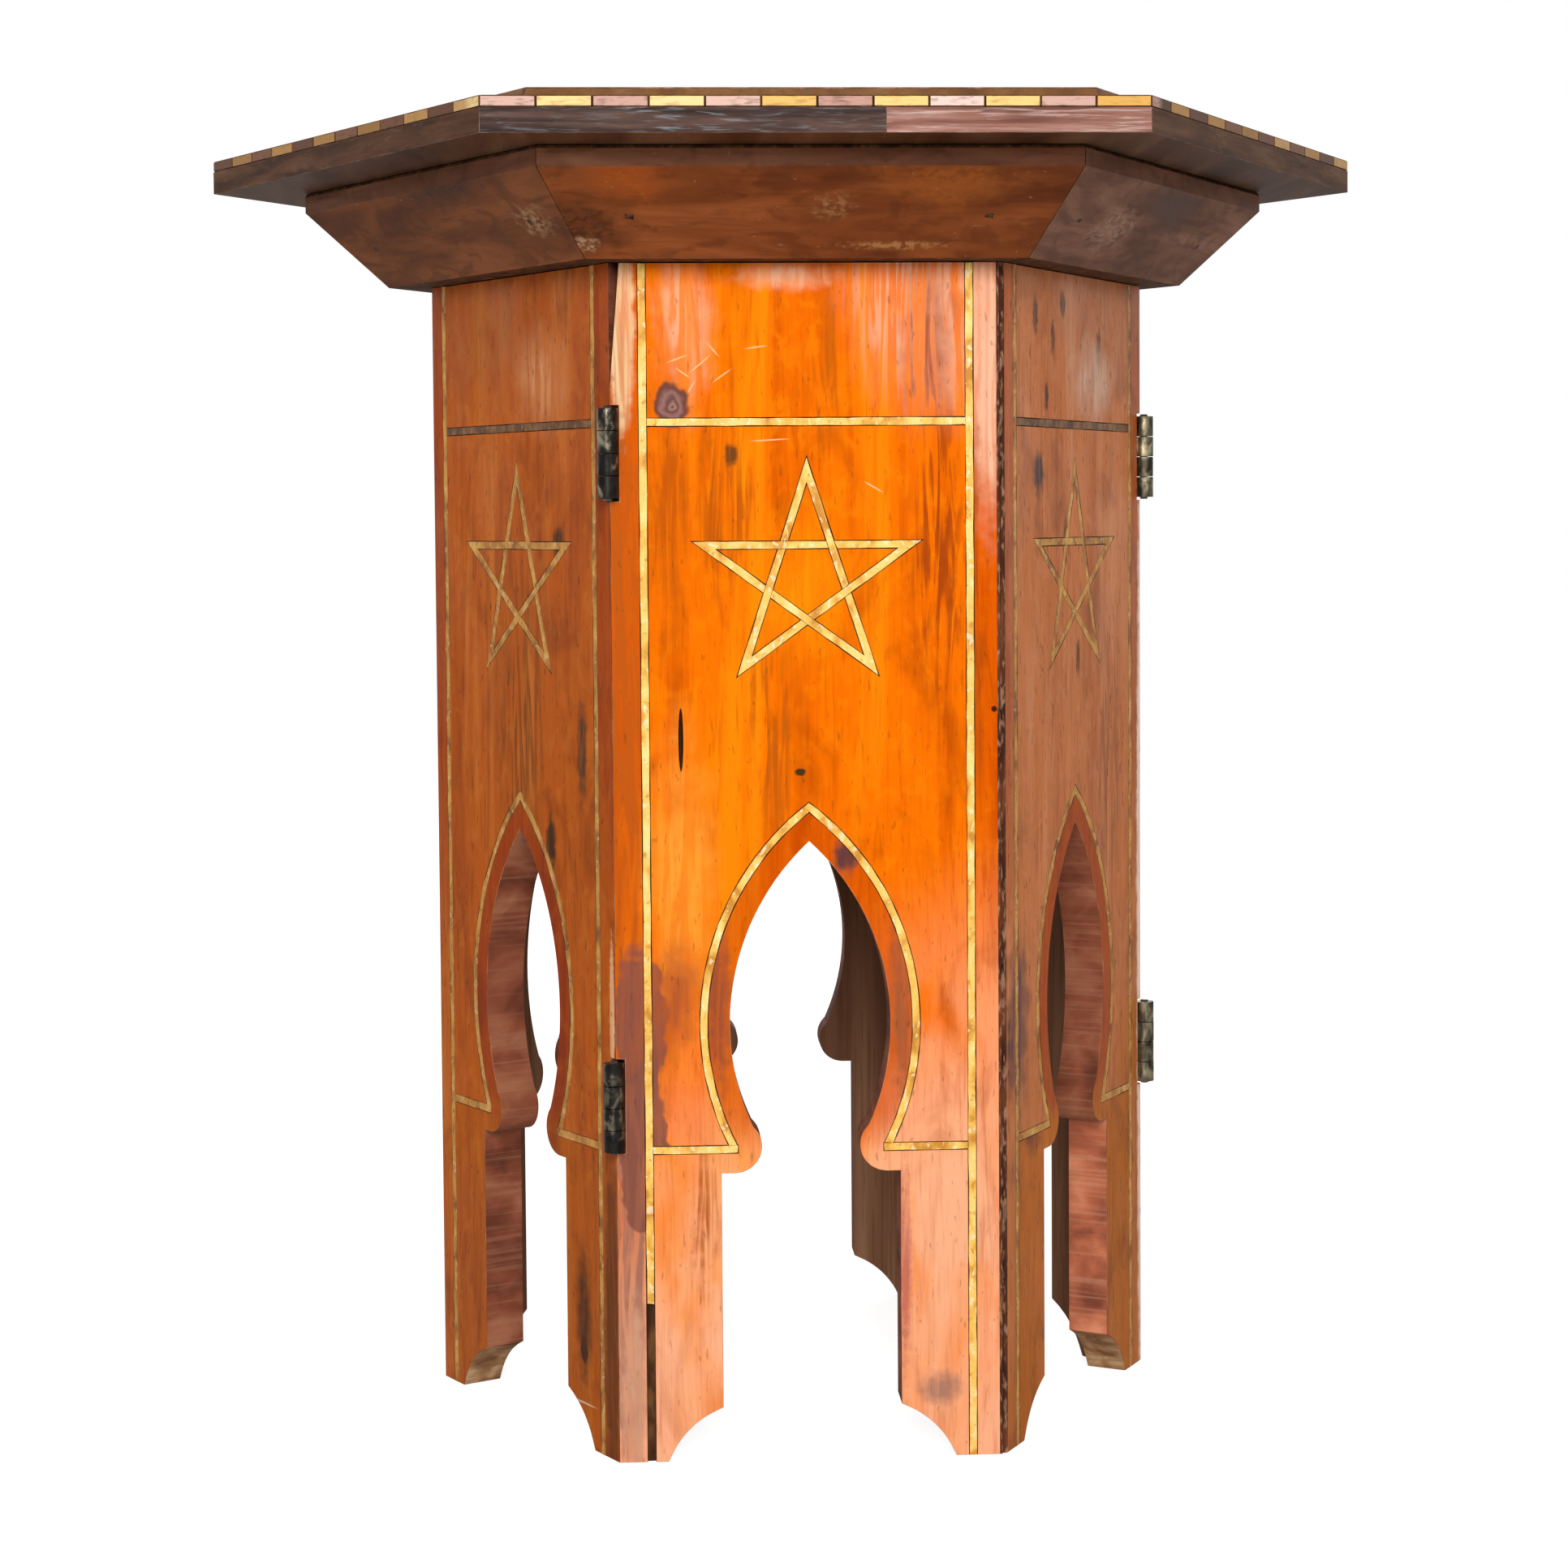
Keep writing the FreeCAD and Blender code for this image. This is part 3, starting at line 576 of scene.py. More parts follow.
def round_arch(piece, radii_mm):
    """Divide the flats of the arch and bring the new corners out to its true circles."""
    def curved(edge):
        if abs(along(edge).y) > LEVEL * MM or edge.calc_length() > LONGEST_FLAT * MM:
            return False
        return all(any(abs(arch_radius(vert.co) - radius) < ON_CIRCLE for radius in radii_mm)
                   for vert in edge.verts)
    count = choose(piece, curved)
    bpy.ops.mesh.subdivide(number_cuts=3)
    shape = bmesh.from_edit_mesh(piece.data)
    for vert in shape.verts:
        here = arch_radius(vert.co)
        near = min(radii_mm, key=lambda radius: abs(radius - here))
        if 0.001 < near - here < DEEPEST_FLAT and ARCH_LOW < vert.co.z / MM < ARCH_HIGH and vert.select:
            hub = Vector((math.copysign(ARCH_HUB[0] * MM, -vert.co.x), vert.co.y, ARCH_HUB[1] * MM))
            vert.co = hub + (vert.co - hub) * near / here
    bmesh.update_edit_mesh(piece.data)
    return count


print("arch radius", ARCH_RADIUS, "mm, strip radius", round(STRIP_RADIUS, 2), "mm")

# %% [markdown]
# A panel's faces take their finish from where they lie: shellac outside, in one tone for the field and
# one for the legs and the band inside the arch strip, bare wood inside, saw marks in the arch, raw wood
# under the feet and glue in the grooves.

# %% Finish of a panel's faces
FIELD, LEGS, INSIDE, SAWN, GLUE, RUBBED, GRIME, FOOT, LEG_WALL, PALE_LIT = range(10)
face_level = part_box("front_panel")[0].y
panel_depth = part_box("front_panel")[1].y - face_level
half_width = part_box("front_panel")[1].x
FLUSH, GROOVE_DEEP, GROOVE_REACH, FOOT_TOP, LEG_TOP, LEG_REACH = 0.05, 1.6, 62, 18, 100, 60
# The middle of the arch strip: height and half width in mm
ARCH_LINE = ((238, 0), (224, 11), (208, 22), (190, 31.5), (174, 36.5), (159, 38.4), (144, 36.5), (114, 26.5))


def in_arch(centre):
    """Inside the arch strip, or below the cusp strips."""
    height, across = centre.z / MM, abs(centre.x) / MM
    for (high, wide_high), (low, wide_low) in zip(ARCH_LINE, ARCH_LINE[1:]):
        if low <= height <= high:
            return across < wide_low + (wide_high - wide_low) * (height - low) / (high - low)
    return height < ARCH_LINE[-1][0]


def panel_finish(centre, normal):
    """Which finish a face of a panel takes, from its place under and on the outer face."""
    depth = centre.y - face_level
    if depth < FLUSH * MM:
        return LEGS if in_arch(centre) and abs(centre.x) < STRIP_EDGE * MM else FIELD
    if depth < GROOVE_DEEP * MM and abs(centre.x) < GROOVE_REACH * MM:
        return GLUE
    if normal.y > 0.9 and depth > panel_depth - 2 * FLUSH * MM:
        return INSIDE
    if centre.z < FOOT_TOP * MM and normal.z < -0.15:
        return FOOT
    on_leg = centre.z < LEG_TOP * MM and abs(centre.x) < LEG_REACH * MM and abs(normal.x) > 0.9
    return LEG_WALL if on_leg else SAWN


print("panel face at", round(face_level / MM, 2), "mm, half width", round(half_width / MM, 2), "mm")

# %% [markdown]
# Corners are chosen by the finishes that meet there. Use has rounded the outline about a millimetre, and
# rubbed wood shows. Where two panels meet with the pin inside, the open mitre is wider and dirty. Dirt
# fills the half millimetre between two mitres, so the visible ones stand closer than the solids'. Glue
# has crept out of the grooves, so their rims are a dark line.

# %% Corners of a panel
rim = between({SAWN, FOOT, LEG_WALL}, {FIELD, LEGS})
groove_rim = between({GLUE}, {FIELD, LEGS}, 50)


def flats_between(low, high):
    """A rule for edges through the whole board, between two flats, within heights in mm."""
    def wanted(edge):
        turn = math.degrees(edge.calc_face_angle(0))
        through = abs(along(edge).y) > 10 * MM
        return through and low < edge.verts[0].co.z / MM < high and 4 < turn < 45
    return wanted


def at_corner(edge, hand):
    """On the upright edge of the face, to the right (1) or left (-1)."""
    return all(vert.co.x * hand > half_width - 0.6 * MM for vert in edge.verts)


def mitred(face, hand):
    """A face of the mitre itself, to the right (1) or left (-1), not of the beds cut into it."""
    outward = Vector((hand * math.cos(math.pi / 6), math.sin(math.pi / 6), 0))
    corner = Vector((hand * half_width, face_level, 0))
    off_mitre = abs(outward.dot(face.calc_center_median() - corner))
    return outward.dot(face.normal) > 0.9 and off_mitre < FLUSH * MM


def worn_and_lit_pale(face):
    """On the rounded corner at the right, from the upper hinge down, painted pale as worn wood and as
    highlight.
    """
    place = face.calc_center_median()
    return face.material_index == RUBBED and place.x > half_width - 1.5 * MM and place.z < 360 * MM


print("corners: arch flats, outline, groove rims, mitres")

# %% Panels
MITRE_DIRT, GLUE_LINE, CUSP_ROUND, FOOT_ROUND, OPEN_MITRE, WORN_EDGE = 0.2, 0.3, 0.8, 2.4, 2.0, 0.9
CUSP_HEIGHTS, FOOT_HEIGHTS = (104, 121.5), (0.5, 19)
panels = {}
for side, name in enumerate(SIDES):
    rubbed = rubbed_bright if name == "front" else rubbed_brown
    leg_wall = sawn_lit_leg if name == "front_right" else sawn_edge
    finishes = (field_finish[side], leg_finish[side], inner_face, sawn_edge, old_glue, rubbed, corner_grime,
                foot_raw, leg_wall, rubbed_and_lit_pale)
    # Groove floors stay triangles, as their long outlines fill badly; the front's boolean needs them whole
    panel = bench_copy(name + "_panel", side, finishes, panel_finish, kept=None if name == "front" else GLUE)
    for hand in (1, -1):
        choose(panel, lambda face: mitred(face, hand), "FACE")
        bpy.ops.transform.translate(value=(hand * MITRE_DIRT * MM, 0, 0))
    arcs = round_arch(panel, (ARCH_RADIUS, STRIP_RADIUS - GROOVE_HALF, STRIP_RADIUS + GROOVE_HALF))
    glued = round_edges(panel, groove_rim, GLUE_LINE, 1, GLUE)
    round_edges(panel, flats_between(*CUSP_HEIGHTS), CUSP_ROUND)
    round_edges(panel, flats_between(*FOOT_HEIGHTS), FOOT_ROUND)
    open_hand = 1 if side % 2 == 0 else -1
    round_edges(panel, lambda edge: rim(edge) and at_corner(edge, open_hand), OPEN_MITRE, finish=GRIME)
    count = round_edges(panel, lambda edge: rim(edge) and not at_corner(edge, open_hand), WORN_EDGE,
                        finish=RUBBED)
    if name == "front_right":
        # The right side's rounded corner is painted pale: worn wood and a painted highlight
        choose(panel, worn_and_lit_pale, "FACE")
        give_finish(panel, PALE_LIT)
    panels[name] = panel
    bpy.ops.object.mode_set(mode="OBJECT")
    print(panel.name, arcs, "flats curved,", glued, "groove edges glued,", count, "edges rounded")

# %% [markdown]
# The front panel has had a hard life. Its upper left corner has split away, so a slanting cut takes a thin
# wedge off the edge there and leaves a break in the dark finish of the open mitres, with a rubbed rim. Lower
# down a shake in the wood has opened into a lens 23 mm long. A stretched sphere, taken away by a boolean,
# gives its thin ends, which a bevel could not.

# %% Split corner of the front panel
SPLIT_TOP, SPLIT_FOOT = Vector((-66.4 * MM, 0, 432 * MM)), Vector((-70.3 * MM, 0, 384 * MM))
front = panels["front"]
take(front)
bpy.ops.object.mode_set(mode="EDIT")
bpy.ops.mesh.select_all(action="SELECT")
slant = (SPLIT_TOP - SPLIT_FOOT).normalized()
bpy.ops.mesh.bisect(plane_co=SPLIT_FOOT, plane_no=(slant.z, 0, -slant.x), use_fill=True, clear_inner=True)
# The break takes the dark finish of the open mitres.
give_finish(front, GRIME)
torn_corner = between({GRIME}, {FIELD}, 40)


def split_rim(edge):
    """A corner between the outer face and the split, high up at the left."""
    there = all(vert.co.z > 385 * MM and vert.co.x < -62 * MM for vert in edge.verts)
    return there and torn_corner(edge)


count = round_edges(front, split_rim, WORN_EDGE, finish=RUBBED)
bpy.ops.object.mode_set(mode="OBJECT")
print("split corner:", count, "edges worn")

# %% Shake of the front panel
SHAKE_PLACE, SHAKE_HALF = (-45.8 * MM, face_level, 262 * MM), (0.9 * MM, 4 * MM, 11.5 * MM)
bpy.ops.object.select_all(action="DESELECT")
bpy.ops.mesh.primitive_uv_sphere_add(segments=16, ring_count=10, radius=1.0, location=SHAKE_PLACE)
shake = bpy.context.object
shake.scale = SHAKE_HALF
bpy.ops.object.transform_apply(location=True, rotation=True, scale=True)
for finish in front.data.materials:
    shake.data.materials.append(finish)
for face in shake.data.polygons:
    face.material_index = GLUE
take(front)
bpy.ops.object.modifier_add(type="BOOLEAN")
cut = front.modifiers[-1]
cut.object = shake
cut.operation = "DIFFERENCE"
cut.solver = "EXACT"
bpy.ops.object.modifier_apply(modifier=cut.name)
bpy.data.objects.remove(shake)
print("front panel:", len(front.data.polygons), "faces after its damage")

# %% Panels back in place
for side, name in enumerate(SIDES):
    put_back(panels[name], name + "_panel", side, name + "_side")
print("panels in place:", len(panels))

# %% [markdown]
# The stringing is boxwood, a pale, hard and even wood, satin from rubbing. The eye sees a line of almost one
# tone, so its noise is short: bruises of 2 or 3 mm and bleached bits. It has stayed yellow on the front and
# browned on the other sides. On the two sides beside the front it is darker, partly as painted shade, and
# darkest on their level strips.

# %% Boxwood finishes
def boxwood(name, tones, pale):
    """Boxwood strip, satin: almost no figure, with short brown bruises and bleached bits."""
    material, tree, shader, place = new_finish(name)
    bands = streaks(tree, place, (7, 7, 10), shift=1.0)
    bruises = streaks(tree, place, (2.2, 2.2, 3.0), shift=6.0, detail=2.0)
    colour = node(tree, "ValToRGB", None, {"Fac": bands}, zip((0.32, 0.48, 0.68), tones))
    colour = overlaid(tree, colour, tones[0], bruises, 0.60, 0.72, 0.75)
    colour = overlaid(tree, colour, pale, bruises, 0.42, 0.34, 0.6)
    coat(tree, shader, colour, bruises, depth_mm=0.12, strength=0.6, roughness=0.45, mirror=0.2)
    return material


bright_boxwood = boxwood("boxwood_bright", ("#d08a2c", "#fac45c", "#ffdf88"), "#fff0c8")
brown_boxwood = boxwood("boxwood_browned", ("#9a642a", "#cc924a", "#e2b46c"), "#f0d09c")
# Darker strips for the two sides beside the front, partly painted shade
shaded_dark_boxwood = boxwood("boxwood_darker_and_shaded", ("#8c5624", "#c2863c", "#daa250"), "#e6be82")
browned_strip = boxwood("boxwood_stained_brown", ("#4a2c14", "#6c4424", "#8e6438"), "#a07848")
print("boxwood:", bright_boxwood.name, brown_boxwood.name, shaded_dark_boxwood.name, browned_strip.name)

# %% [markdown]
# Strips lie in every groove: a line round each panel, a keel round the arch and a woven star. Faces where
# two strips meet are hidden and deleted. The strips were planed by hand, so their long edges are halved
# again and again and the corners of their faces shaken a little, but not at the feet, which stand on the
# floor. Those corners then get a thin bevel in the glue's finish. The foot of one strip has dropped out.

# %% Stringing
STRIP_FACE, STRIP_GLUE, STRIP_BROWN = range(3)
STRIP_FINISH = {"front": bright_boxwood, "front_right": shaded_dark_boxwood, "front_left": shaded_dark_boxwood}
STRIP_LINE, SHAKEN, HALVINGS, LONGEST_EDGE, FEET_LEVEL = 0.36, 0.14, 6, 12, 1
LEFT_STRIP, DROPPED_BELOW = -56, 52


def on_level_strip(centre):
    """On the strip that crosses the panel above the star."""
    return 370 * MM < centre.z < 380 * MM and abs(centre.x) < 57 * MM


def strip_rim(edge):
    """A corner of a strip's visible face."""
    return sharp(edge, 50) and all(vert.co.y < face_level + 0.3 * MM for vert in edge.verts)


for side, name in enumerate(SIDES):
    source = name + "_stringing"
    finish = STRIP_FINISH.get(name, brown_boxwood)
    level_finish = STRIP_BROWN if finish == shaded_dark_boxwood else STRIP_FACE
    strips = bench_copy(source, side, (finish, old_glue, browned_strip),
                        lambda centre, normal: level_finish if on_level_strip(centre) else STRIP_FACE)
    hidden = choose(strips, lambda face: all(len(edge.link_faces) > 2 for edge in face.edges), "FACE")
    bpy.ops.mesh.delete(type="FACE")
    round_arch(strips, (STRIP_RADIUS - STRIP_HALF, STRIP_RADIUS + STRIP_HALF))
    if name == "front":
        choose(strips, lambda edge: all(vert.co.x < LEFT_STRIP * MM for vert in edge.verts))
        bpy.ops.mesh.select_linked()
        bpy.ops.mesh.bisect(plane_co=(0, 0, DROPPED_BELOW * MM), plane_no=(0.1, 0, 1), use_fill=True,
                            clear_inner=True)
    for halving in range(HALVINGS):
        choose(strips, lambda edge: edge.calc_length() > LONGEST_EDGE * MM)
        bpy.ops.mesh.subdivide(number_cuts=1)
    choose(strips, lambda edge: strip_rim(edge) and min(vert.co.z for vert in edge.verts) > FEET_LEVEL * MM)
    bpy.ops.transform.vertex_random(offset=SHAKEN * MM, uniform=1.0, normal=0.0, seed=side + 3)
    count = round_edges(strips, strip_rim, STRIP_LINE, 1, STRIP_GLUE)
    put_back(strips, source, side, name + "_side")
    print(strips.name, hidden, "joint faces removed,", count, "corners glued")

# %% [markdown]
# The apron is six mitred mouldings under the top, each with an upright band and a slope below it. They
# are stained softwood: a dull brown that hides most of the grain, greyer on the band where hands lift the
# top, and clearer where the stain was wiped. The fibres, 1.3 mm here, are drawn coarser than life.

# %% Stained softwood
def stained_moulding(name, tones, side, marks):
    """Brown stain on softwood, dull, grain lying along the moulding."""
    material, tree, shader, place = new_finish(name, side)
    bands = streaks(tree, place, (70, 16, 16), shift=side * 2.9 + 1, detail=4.0, distortion=0.8)
    fibres = streaks(tree, place, (26, 1.3, 1.3), shift=side * 1.1 + 4, detail=2.0)
    scuffs = streaks(tree, place, (3, 2, 2), shift=side * 2.0 + 3, detail=5.0)
    soil = streaks(tree, place, (18, 9, 9), shift=side * 3.3 + 6, detail=4.0, distortion=1.0)
    colour = node(tree, "ValToRGB", None, {"Fac": bands}, zip((0.30, 0.50, 0.70), tones))
    colour = overlaid(tree, colour, tones[0], fibres, 0.50, 0.80, 0.35)
    colour = overlaid(tree, colour, tones[0], soil, 0.48, 0.66, 0.5)
    colour = stained(tree, place, colour, marks, scuffs)
    colour = overlaid(tree, colour, "#a8845e", scuffs, 0.68, 0.74, 0.4)
    coat(tree, shader, colour, scuffs, depth_mm=0.2, strength=0.5, roughness=0.5, mirror=0.1)
    return material


SLOPE_TONES = {
    "front": ("#562810", "#7c401c", "#945028"), "front_right": ("#54301f", "#7c5038", "#966a50"),
    "front_left": ("#542a0e", "#7a421a", "#905228"), "back": ("#56321c", "#744628", "#885a3a"),
    "back_left": ("#503020", "#6e442c", "#84583e"), "back_right": ("#503020", "#6e442c", "#84583e"),
}
BAND_TONES = ("#54301c", "#784830", "#926044")
APRON_MARKS = {
    "front": (
        ("#a4501a", -62, 462, 12, 10, 0.6, 0.7, 0.3), ("#4c2814", -80, 442, 14, 8, 0.8, 0.7, 0.3),
        ("#94643e", 8, 449, 6, 3.5, 0.7, 0.7, 0.9), ("#b08a66", -78, 437, 5, 2, 0.8, 0.5, 0.9),
        ("#a06c40", 30, 436.5, 16, 1.2, 0.8, 0.6, 0.9), ("#96501e", 46, 458, 18, 8, 0.8, 0.8, 0.4)),
    "front_left": (
        ("#a07c56", 66, 446, 9, 4, 0.9, 0.6, 1.0), ("#4a2c1c", 20, 462, 26, 6, 0.8, 0.7, 0.3)),
    "front_right": (
        ("#a07a64", -30, 446, 14, 6, 0.8, 0.7, 1.0), ("#5c4238", 10, 456, 20, 6, 0.8, 0.7, 0.3)),
}
band_finish = [stained_moulding("stained_softwood_band_" + name, BAND_TONES, side, ())
               for side, name in enumerate(SIDES)]
slope_finish = [stained_moulding("stained_softwood_" + name, SLOPE_TONES[name], side,
                                 APRON_MARKS.get(name, ())) for side, name in enumerate(SIDES)]
# Bare softwood on the mouldings' corners, a thin paler line between slope and band
apron_rub = bare_wood("rubbed_moulding_corner", ("#6a3e22", "#8a5834", "#b98860"), (20, 6, 6), (6, 1, 1),
                      0.6, 0.1)
print("moulding finishes:", len(band_finish) + len(slope_finish))

# %% [markdown]
# Each moulding was planed in one length and mitred, so its corners are crisp and only rubbed. Its upper edge
# stands a little off the boards, so that edge is rounded more and given the dark glue finish, a painted
# shadow of the gap under the boards.

# %% Apron mouldings
SLOPE, BAND, MOULDING_CORNER, HIDDEN_AND_SHADOW_LINE = range(4)
UNDER_BOARDS, UNDER_ROUND, MOULDING_ROUND = 467, 1.4, 0.6
band_corner = between({BAND}, {HIDDEN_AND_SHADOW_LINE})


def apron_finish(centre, normal):
    """The sloping face, the upright band, and the faces that hide behind them."""
    if normal.y < -0.2 and normal.z < -0.2:
        return SLOPE
    return BAND if normal.y < -0.9 else HIDDEN_AND_SHADOW_LINE


def under_boards(edge):
    """The moulding's top outer edge, against the boards."""
    return all(vert.co.z > UNDER_BOARDS * MM for vert in edge.verts) and band_corner(edge)


for side, name in enumerate(SIDES):
    finishes = (slope_finish[side], band_finish[side], apron_rub, old_glue)
    # The rounded top outer edge takes the dark glue finish: a painted shadow line under the boards
    worn_piece(name + "_apron", side, "table_top", finishes, apron_finish,
               ((under_boards, UNDER_ROUND, 2, HIDDEN_AND_SHADOW_LINE),
                (lambda edge: sharp(edge) and not under_boards(edge), MOULDING_ROUND, 2, MOULDING_CORNER)))

# %% [markdown]
# The top is two boards under a raised field. Only their edges and undersides face the viewer: the left
# board's front edge is dark with scuffs of bluish white paint, the right one's is a red brown, and the
# undersides are dirty and plain. Scuffs lie along a board, so they are noise drawn out level.

# %% Weathered boards
def weathered(name, tones, grain_mm, scuff, scuff_mm, scuff_share):
    """Old board under worn stain, with scuffs of paint or of pale bleached wood."""
    material, tree, shader, place = new_finish(name)
    bands = streaks(tree, place, grain_mm, shift=5.0, detail=4.0)
    fibres = streaks(tree, place, tuple(size / 12 for size in grain_mm), shift=2.0, detail=2.0)
    scrapes = streaks(tree, place, scuff_mm, shift=8.0, detail=6.0)
    colour = node(tree, "ValToRGB", None, {"Fac": bands}, zip((0.30, 0.50, 0.70), tones))
    colour = overlaid(tree, colour, tones[0], fibres, 0.50, 0.80, 0.45)
    spread = streaks(tree, place, (40, 40, 9), shift=1.7, detail=2.0)
    spread = node(tree, "MapRange", SMOOTH,
                  {0: spread, 1: 0.40, 2: 0.58, 3: 0.25 * scuff_share, 4: scuff_share})
    colour = overlaid(tree, colour, scuff, scrapes, 0.52, 0.68, spread)
    coat(tree, shader, colour, scrapes, depth_mm=0.2, strength=0.6, roughness=0.55, mirror=0.1)
    return material


# Painted edge: nearly black wood under torn paint, cold beside the orange panels
painted_edge = weathered("painted_board_edge", ("#241815", "#44302a", "#644a40"), (50, 14, 3), "#8c949a",
                         (11, 11, 1.0), 0.7)
# Red-stained edge, bleached in level streaks
red_edge = weathered("stained_board_edge", ("#6c4136", "#966658", "#b88c80"), (50, 14, 2.5), "#d2bab0",
                     (16, 16, 0.9), 0.6)
# Brown edges round the other sides, plain and dull
brown_edge = weathered("brown_board_edge", ("#36200f", "#543420", "#6a4830"), (40, 40, 4), "#7c5c46",
                       (8, 8, 2), 0.25)
# Undersides, dark with dirt, so that the apron stands out below them
board_under = weathered("dirty_board_underside", ("#38200f", "#52341f", "#684a32"), (14, 170, 14), "#665a46",
                        (30, 50, 30), 0.3)
# The field above, plain worn wood with its grain from front to back
field_wood = weathered("weathered_top_field", ("#664428", "#7c5432", "#8e6640"), (15, 190, 15), "#94886c",
                       (12, 40, 12), 0.12)
# Rubbed corners of the boards, a paler line round the top
board_rub = bare_wood("rubbed_board_corner", ("#4c3026", "#745042", "#a88474"), (9, 9, 9), (2, 2, 2),
                      0.6, 0.1)
print("board finishes:", painted_edge.name, red_edge.name, board_under.name, field_wood.name)

# %% Top boards and field
FRONT_EDGE, OTHER_EDGE, FLAT, BOARD_CORNER = range(4)
BOARD_ROUND = 0.7


def board_finish(centre, normal):
    """The front edge, the other edges, and the flat faces."""
    if abs(normal.z) > 0.9:
        return FLAT
    return FRONT_EDGE if normal.y < -0.9 else OTHER_EDGE


for source, slot, finishes in (
        ("top_board_left", "top_board_wood", (painted_edge, brown_edge, board_under, board_rub)),
        ("top_board_right", "top_board_wood", (red_edge, brown_edge, board_under, board_rub)),
        ("top_field", "top_field_wood", (field_wood, field_wood, field_wood, board_rub))):
    worn_piece(source, 0, "table_top", finishes, board_finish, ((sharp, BOARD_ROUND, 2, BOARD_CORNER),))

# %% [markdown]
# Seventy-two edging blocks run round the field, dark and light in turn. They were cut from different
# sticks, so each block's tone differs: Random Per Island gives every block its own share. The front row
# has been cleaned by sleeves and is paler than the rest. Dark glue shows between them.

# %% Border blocks
FRONT_ROW_BACK, OTHER_ROWS, BLOCK_ROUND, BLOCK_GLUE = -190, -184, 0.42, 1


def block_wood(name, tones, aged):
    """Edging block: one tone for each block, fine grain, paler in the front row."""
    material, tree, shader, place = new_finish(name)
    lot = node(tree, "NewGeometry", out="Random Per Island")
    fibres = streaks(tree, place, (5, 5, 1.2), shift=3.0, detail=4.0)
    clean, old = [node(tree, "ValToRGB", None, {"Fac": lot}, zip((0.0, 0.5, 1.0), row_tones))
                  for row_tones in (tones, aged)]
    back = node(tree, "SeparateXYZ", None, {0: place}, out="Y")
    row = node(tree, "MapRange", SMOOTH, {0: back, 1: FRONT_ROW_BACK * MM, 2: OTHER_ROWS * MM})
    colour = node(tree, "Mix", COLOURS, {0: row, 6: clean, 7: old})
    colour = overlaid(tree, colour, aged[0], fibres, 0.48, 0.72, 0.5)
    coat(tree, shader, colour, fibres, depth_mm=0.15, strength=0.6, roughness=0.5, mirror=0.2)
    return material


# Walnut, bleached pink in front and brown elsewhere; boxwood, a warm yellow that makes the border a chain
walnut = block_wood("walnut_edging_block", ("#c09080", "#dcb4a4", "#eed0c2"),
                    ("#4c2c1c", "#6e442c", "#86583e"))
pale_box = block_wood("boxwood_edging_block", ("#d8a24c", "#f0c470", "#f8d898"),
                      ("#9c6e38", "#ba8a4c", "#cca066"))
for source, slot, finish in (("dark_border_blocks", "dark_block_wood", walnut),
                             ("light_border_blocks", "light_block_wood", pale_box)):
    worn_piece(source, 0, "table_top", (finish, old_glue), lambda centre, normal: 0,
               ((lambda edge: sharp(edge, 50), BLOCK_ROUND, 1, BLOCK_GLUE),))

# %% [markdown]
# Hinges, pins, screws and nails are old metal. Tarnish is uneven: patches a few millimetres wide, dark in
# the hollows and pale where hands rub, with the rubbed patches smoother. The metallic share is a little
# under 1, as tarnish covers some of the metal.

# %% Metal and dowel finishes
def tarnished(name, tones, roughness, grain_mm):
    """Old metal: a dull patina with rubbed and dark patches."""
    material, tree, shader, place = new_finish(name)
    patches = streaks(tree, place, grain_mm, shift=3.0, detail=4.0)
    pits = streaks(tree, place, tuple(size / 4 for size in grain_mm), shift=9.0, detail=2.0)
    colour = node(tree, "ValToRGB", None, {"Fac": patches}, zip((0.36, 0.52, 0.68), tones))
    dull = node(tree, "MapRange", SMOOTH,
                {0: patches, 1: 0.35, 2: 0.65, 3: roughness + 0.12, 4: roughness - 0.1})
    coat(tree, shader, colour, pits, depth_mm=0.1, strength=0.6, roughness=dull, metal=0.8)
    return material


# Cast brass under khaki patina, and nearly black at the front left corner, both with pale rubbed spots
hinge_brass = tarnished("tarnished_brass", ("#28241c", "#5e5644", "#a89c7c"), 0.42, (4, 4, 7))
hinge_black = tarnished("nearly_black_brass", ("#12100e", "#2a2620", "#8c8470"), 0.36, (4, 4, 7))
# Steel pins and screws, greyer than the brass, and rusted nails, the roughest
pin_steel = tarnished("worn_steel_pin", ("#2c2a28", "#5c5852", "#8c867e"), 0.42, (4, 4, 4))
screw_steel = tarnished("dull_steel_screw", ("#3a3630", "#645e54", "#8c8474"), 0.45, (3, 3, 3))
nail_iron = tarnished("rusted_iron_nail", ("#2a1c14", "#4c3424", "#6e5036"), 0.6, (2, 2, 2))
# Turned beech for the dowels, pale and clean, because they stay hidden in their holes
peg_beech = bare_wood("beech_dowel", ("#a87e50", "#c8a070", "#dcb88a"), (6, 6, 40), (1, 1, 20), 0.6, 0.1)
print("hardware finishes:", hinge_brass.name, hinge_black.name, pin_steel.name, peg_beech.name)

# %% [markdown]
# Two butt hinges join each pair of panels. The solids' barrels are eight-sided; rounding the upright
# edges of the knuckles makes them round, and a fine rim breaks the knuckles' ends. Cylinders would have
# to be fitted to the leaves again, so the copies of the solids are rounded instead.

# %% Hinges
KNUCKLE_ROUND, KNUCKLE_RIM = 1.1, 0.25
# The leaves at the front left corner take the nearly black copy of the brass finish.
NEARLY_BLACK_LEAVES = ("front_panel_left_leaves", "front_left_panel_right_leaves")


def barrel_edge(edge):
    """An upright edge between two flats of a knuckle."""
    turn = math.degrees(edge.calc_face_angle(0))
    return abs(along(edge).normalized().z) > 0.9 and 30 < turn < 60 and edge.is_convex


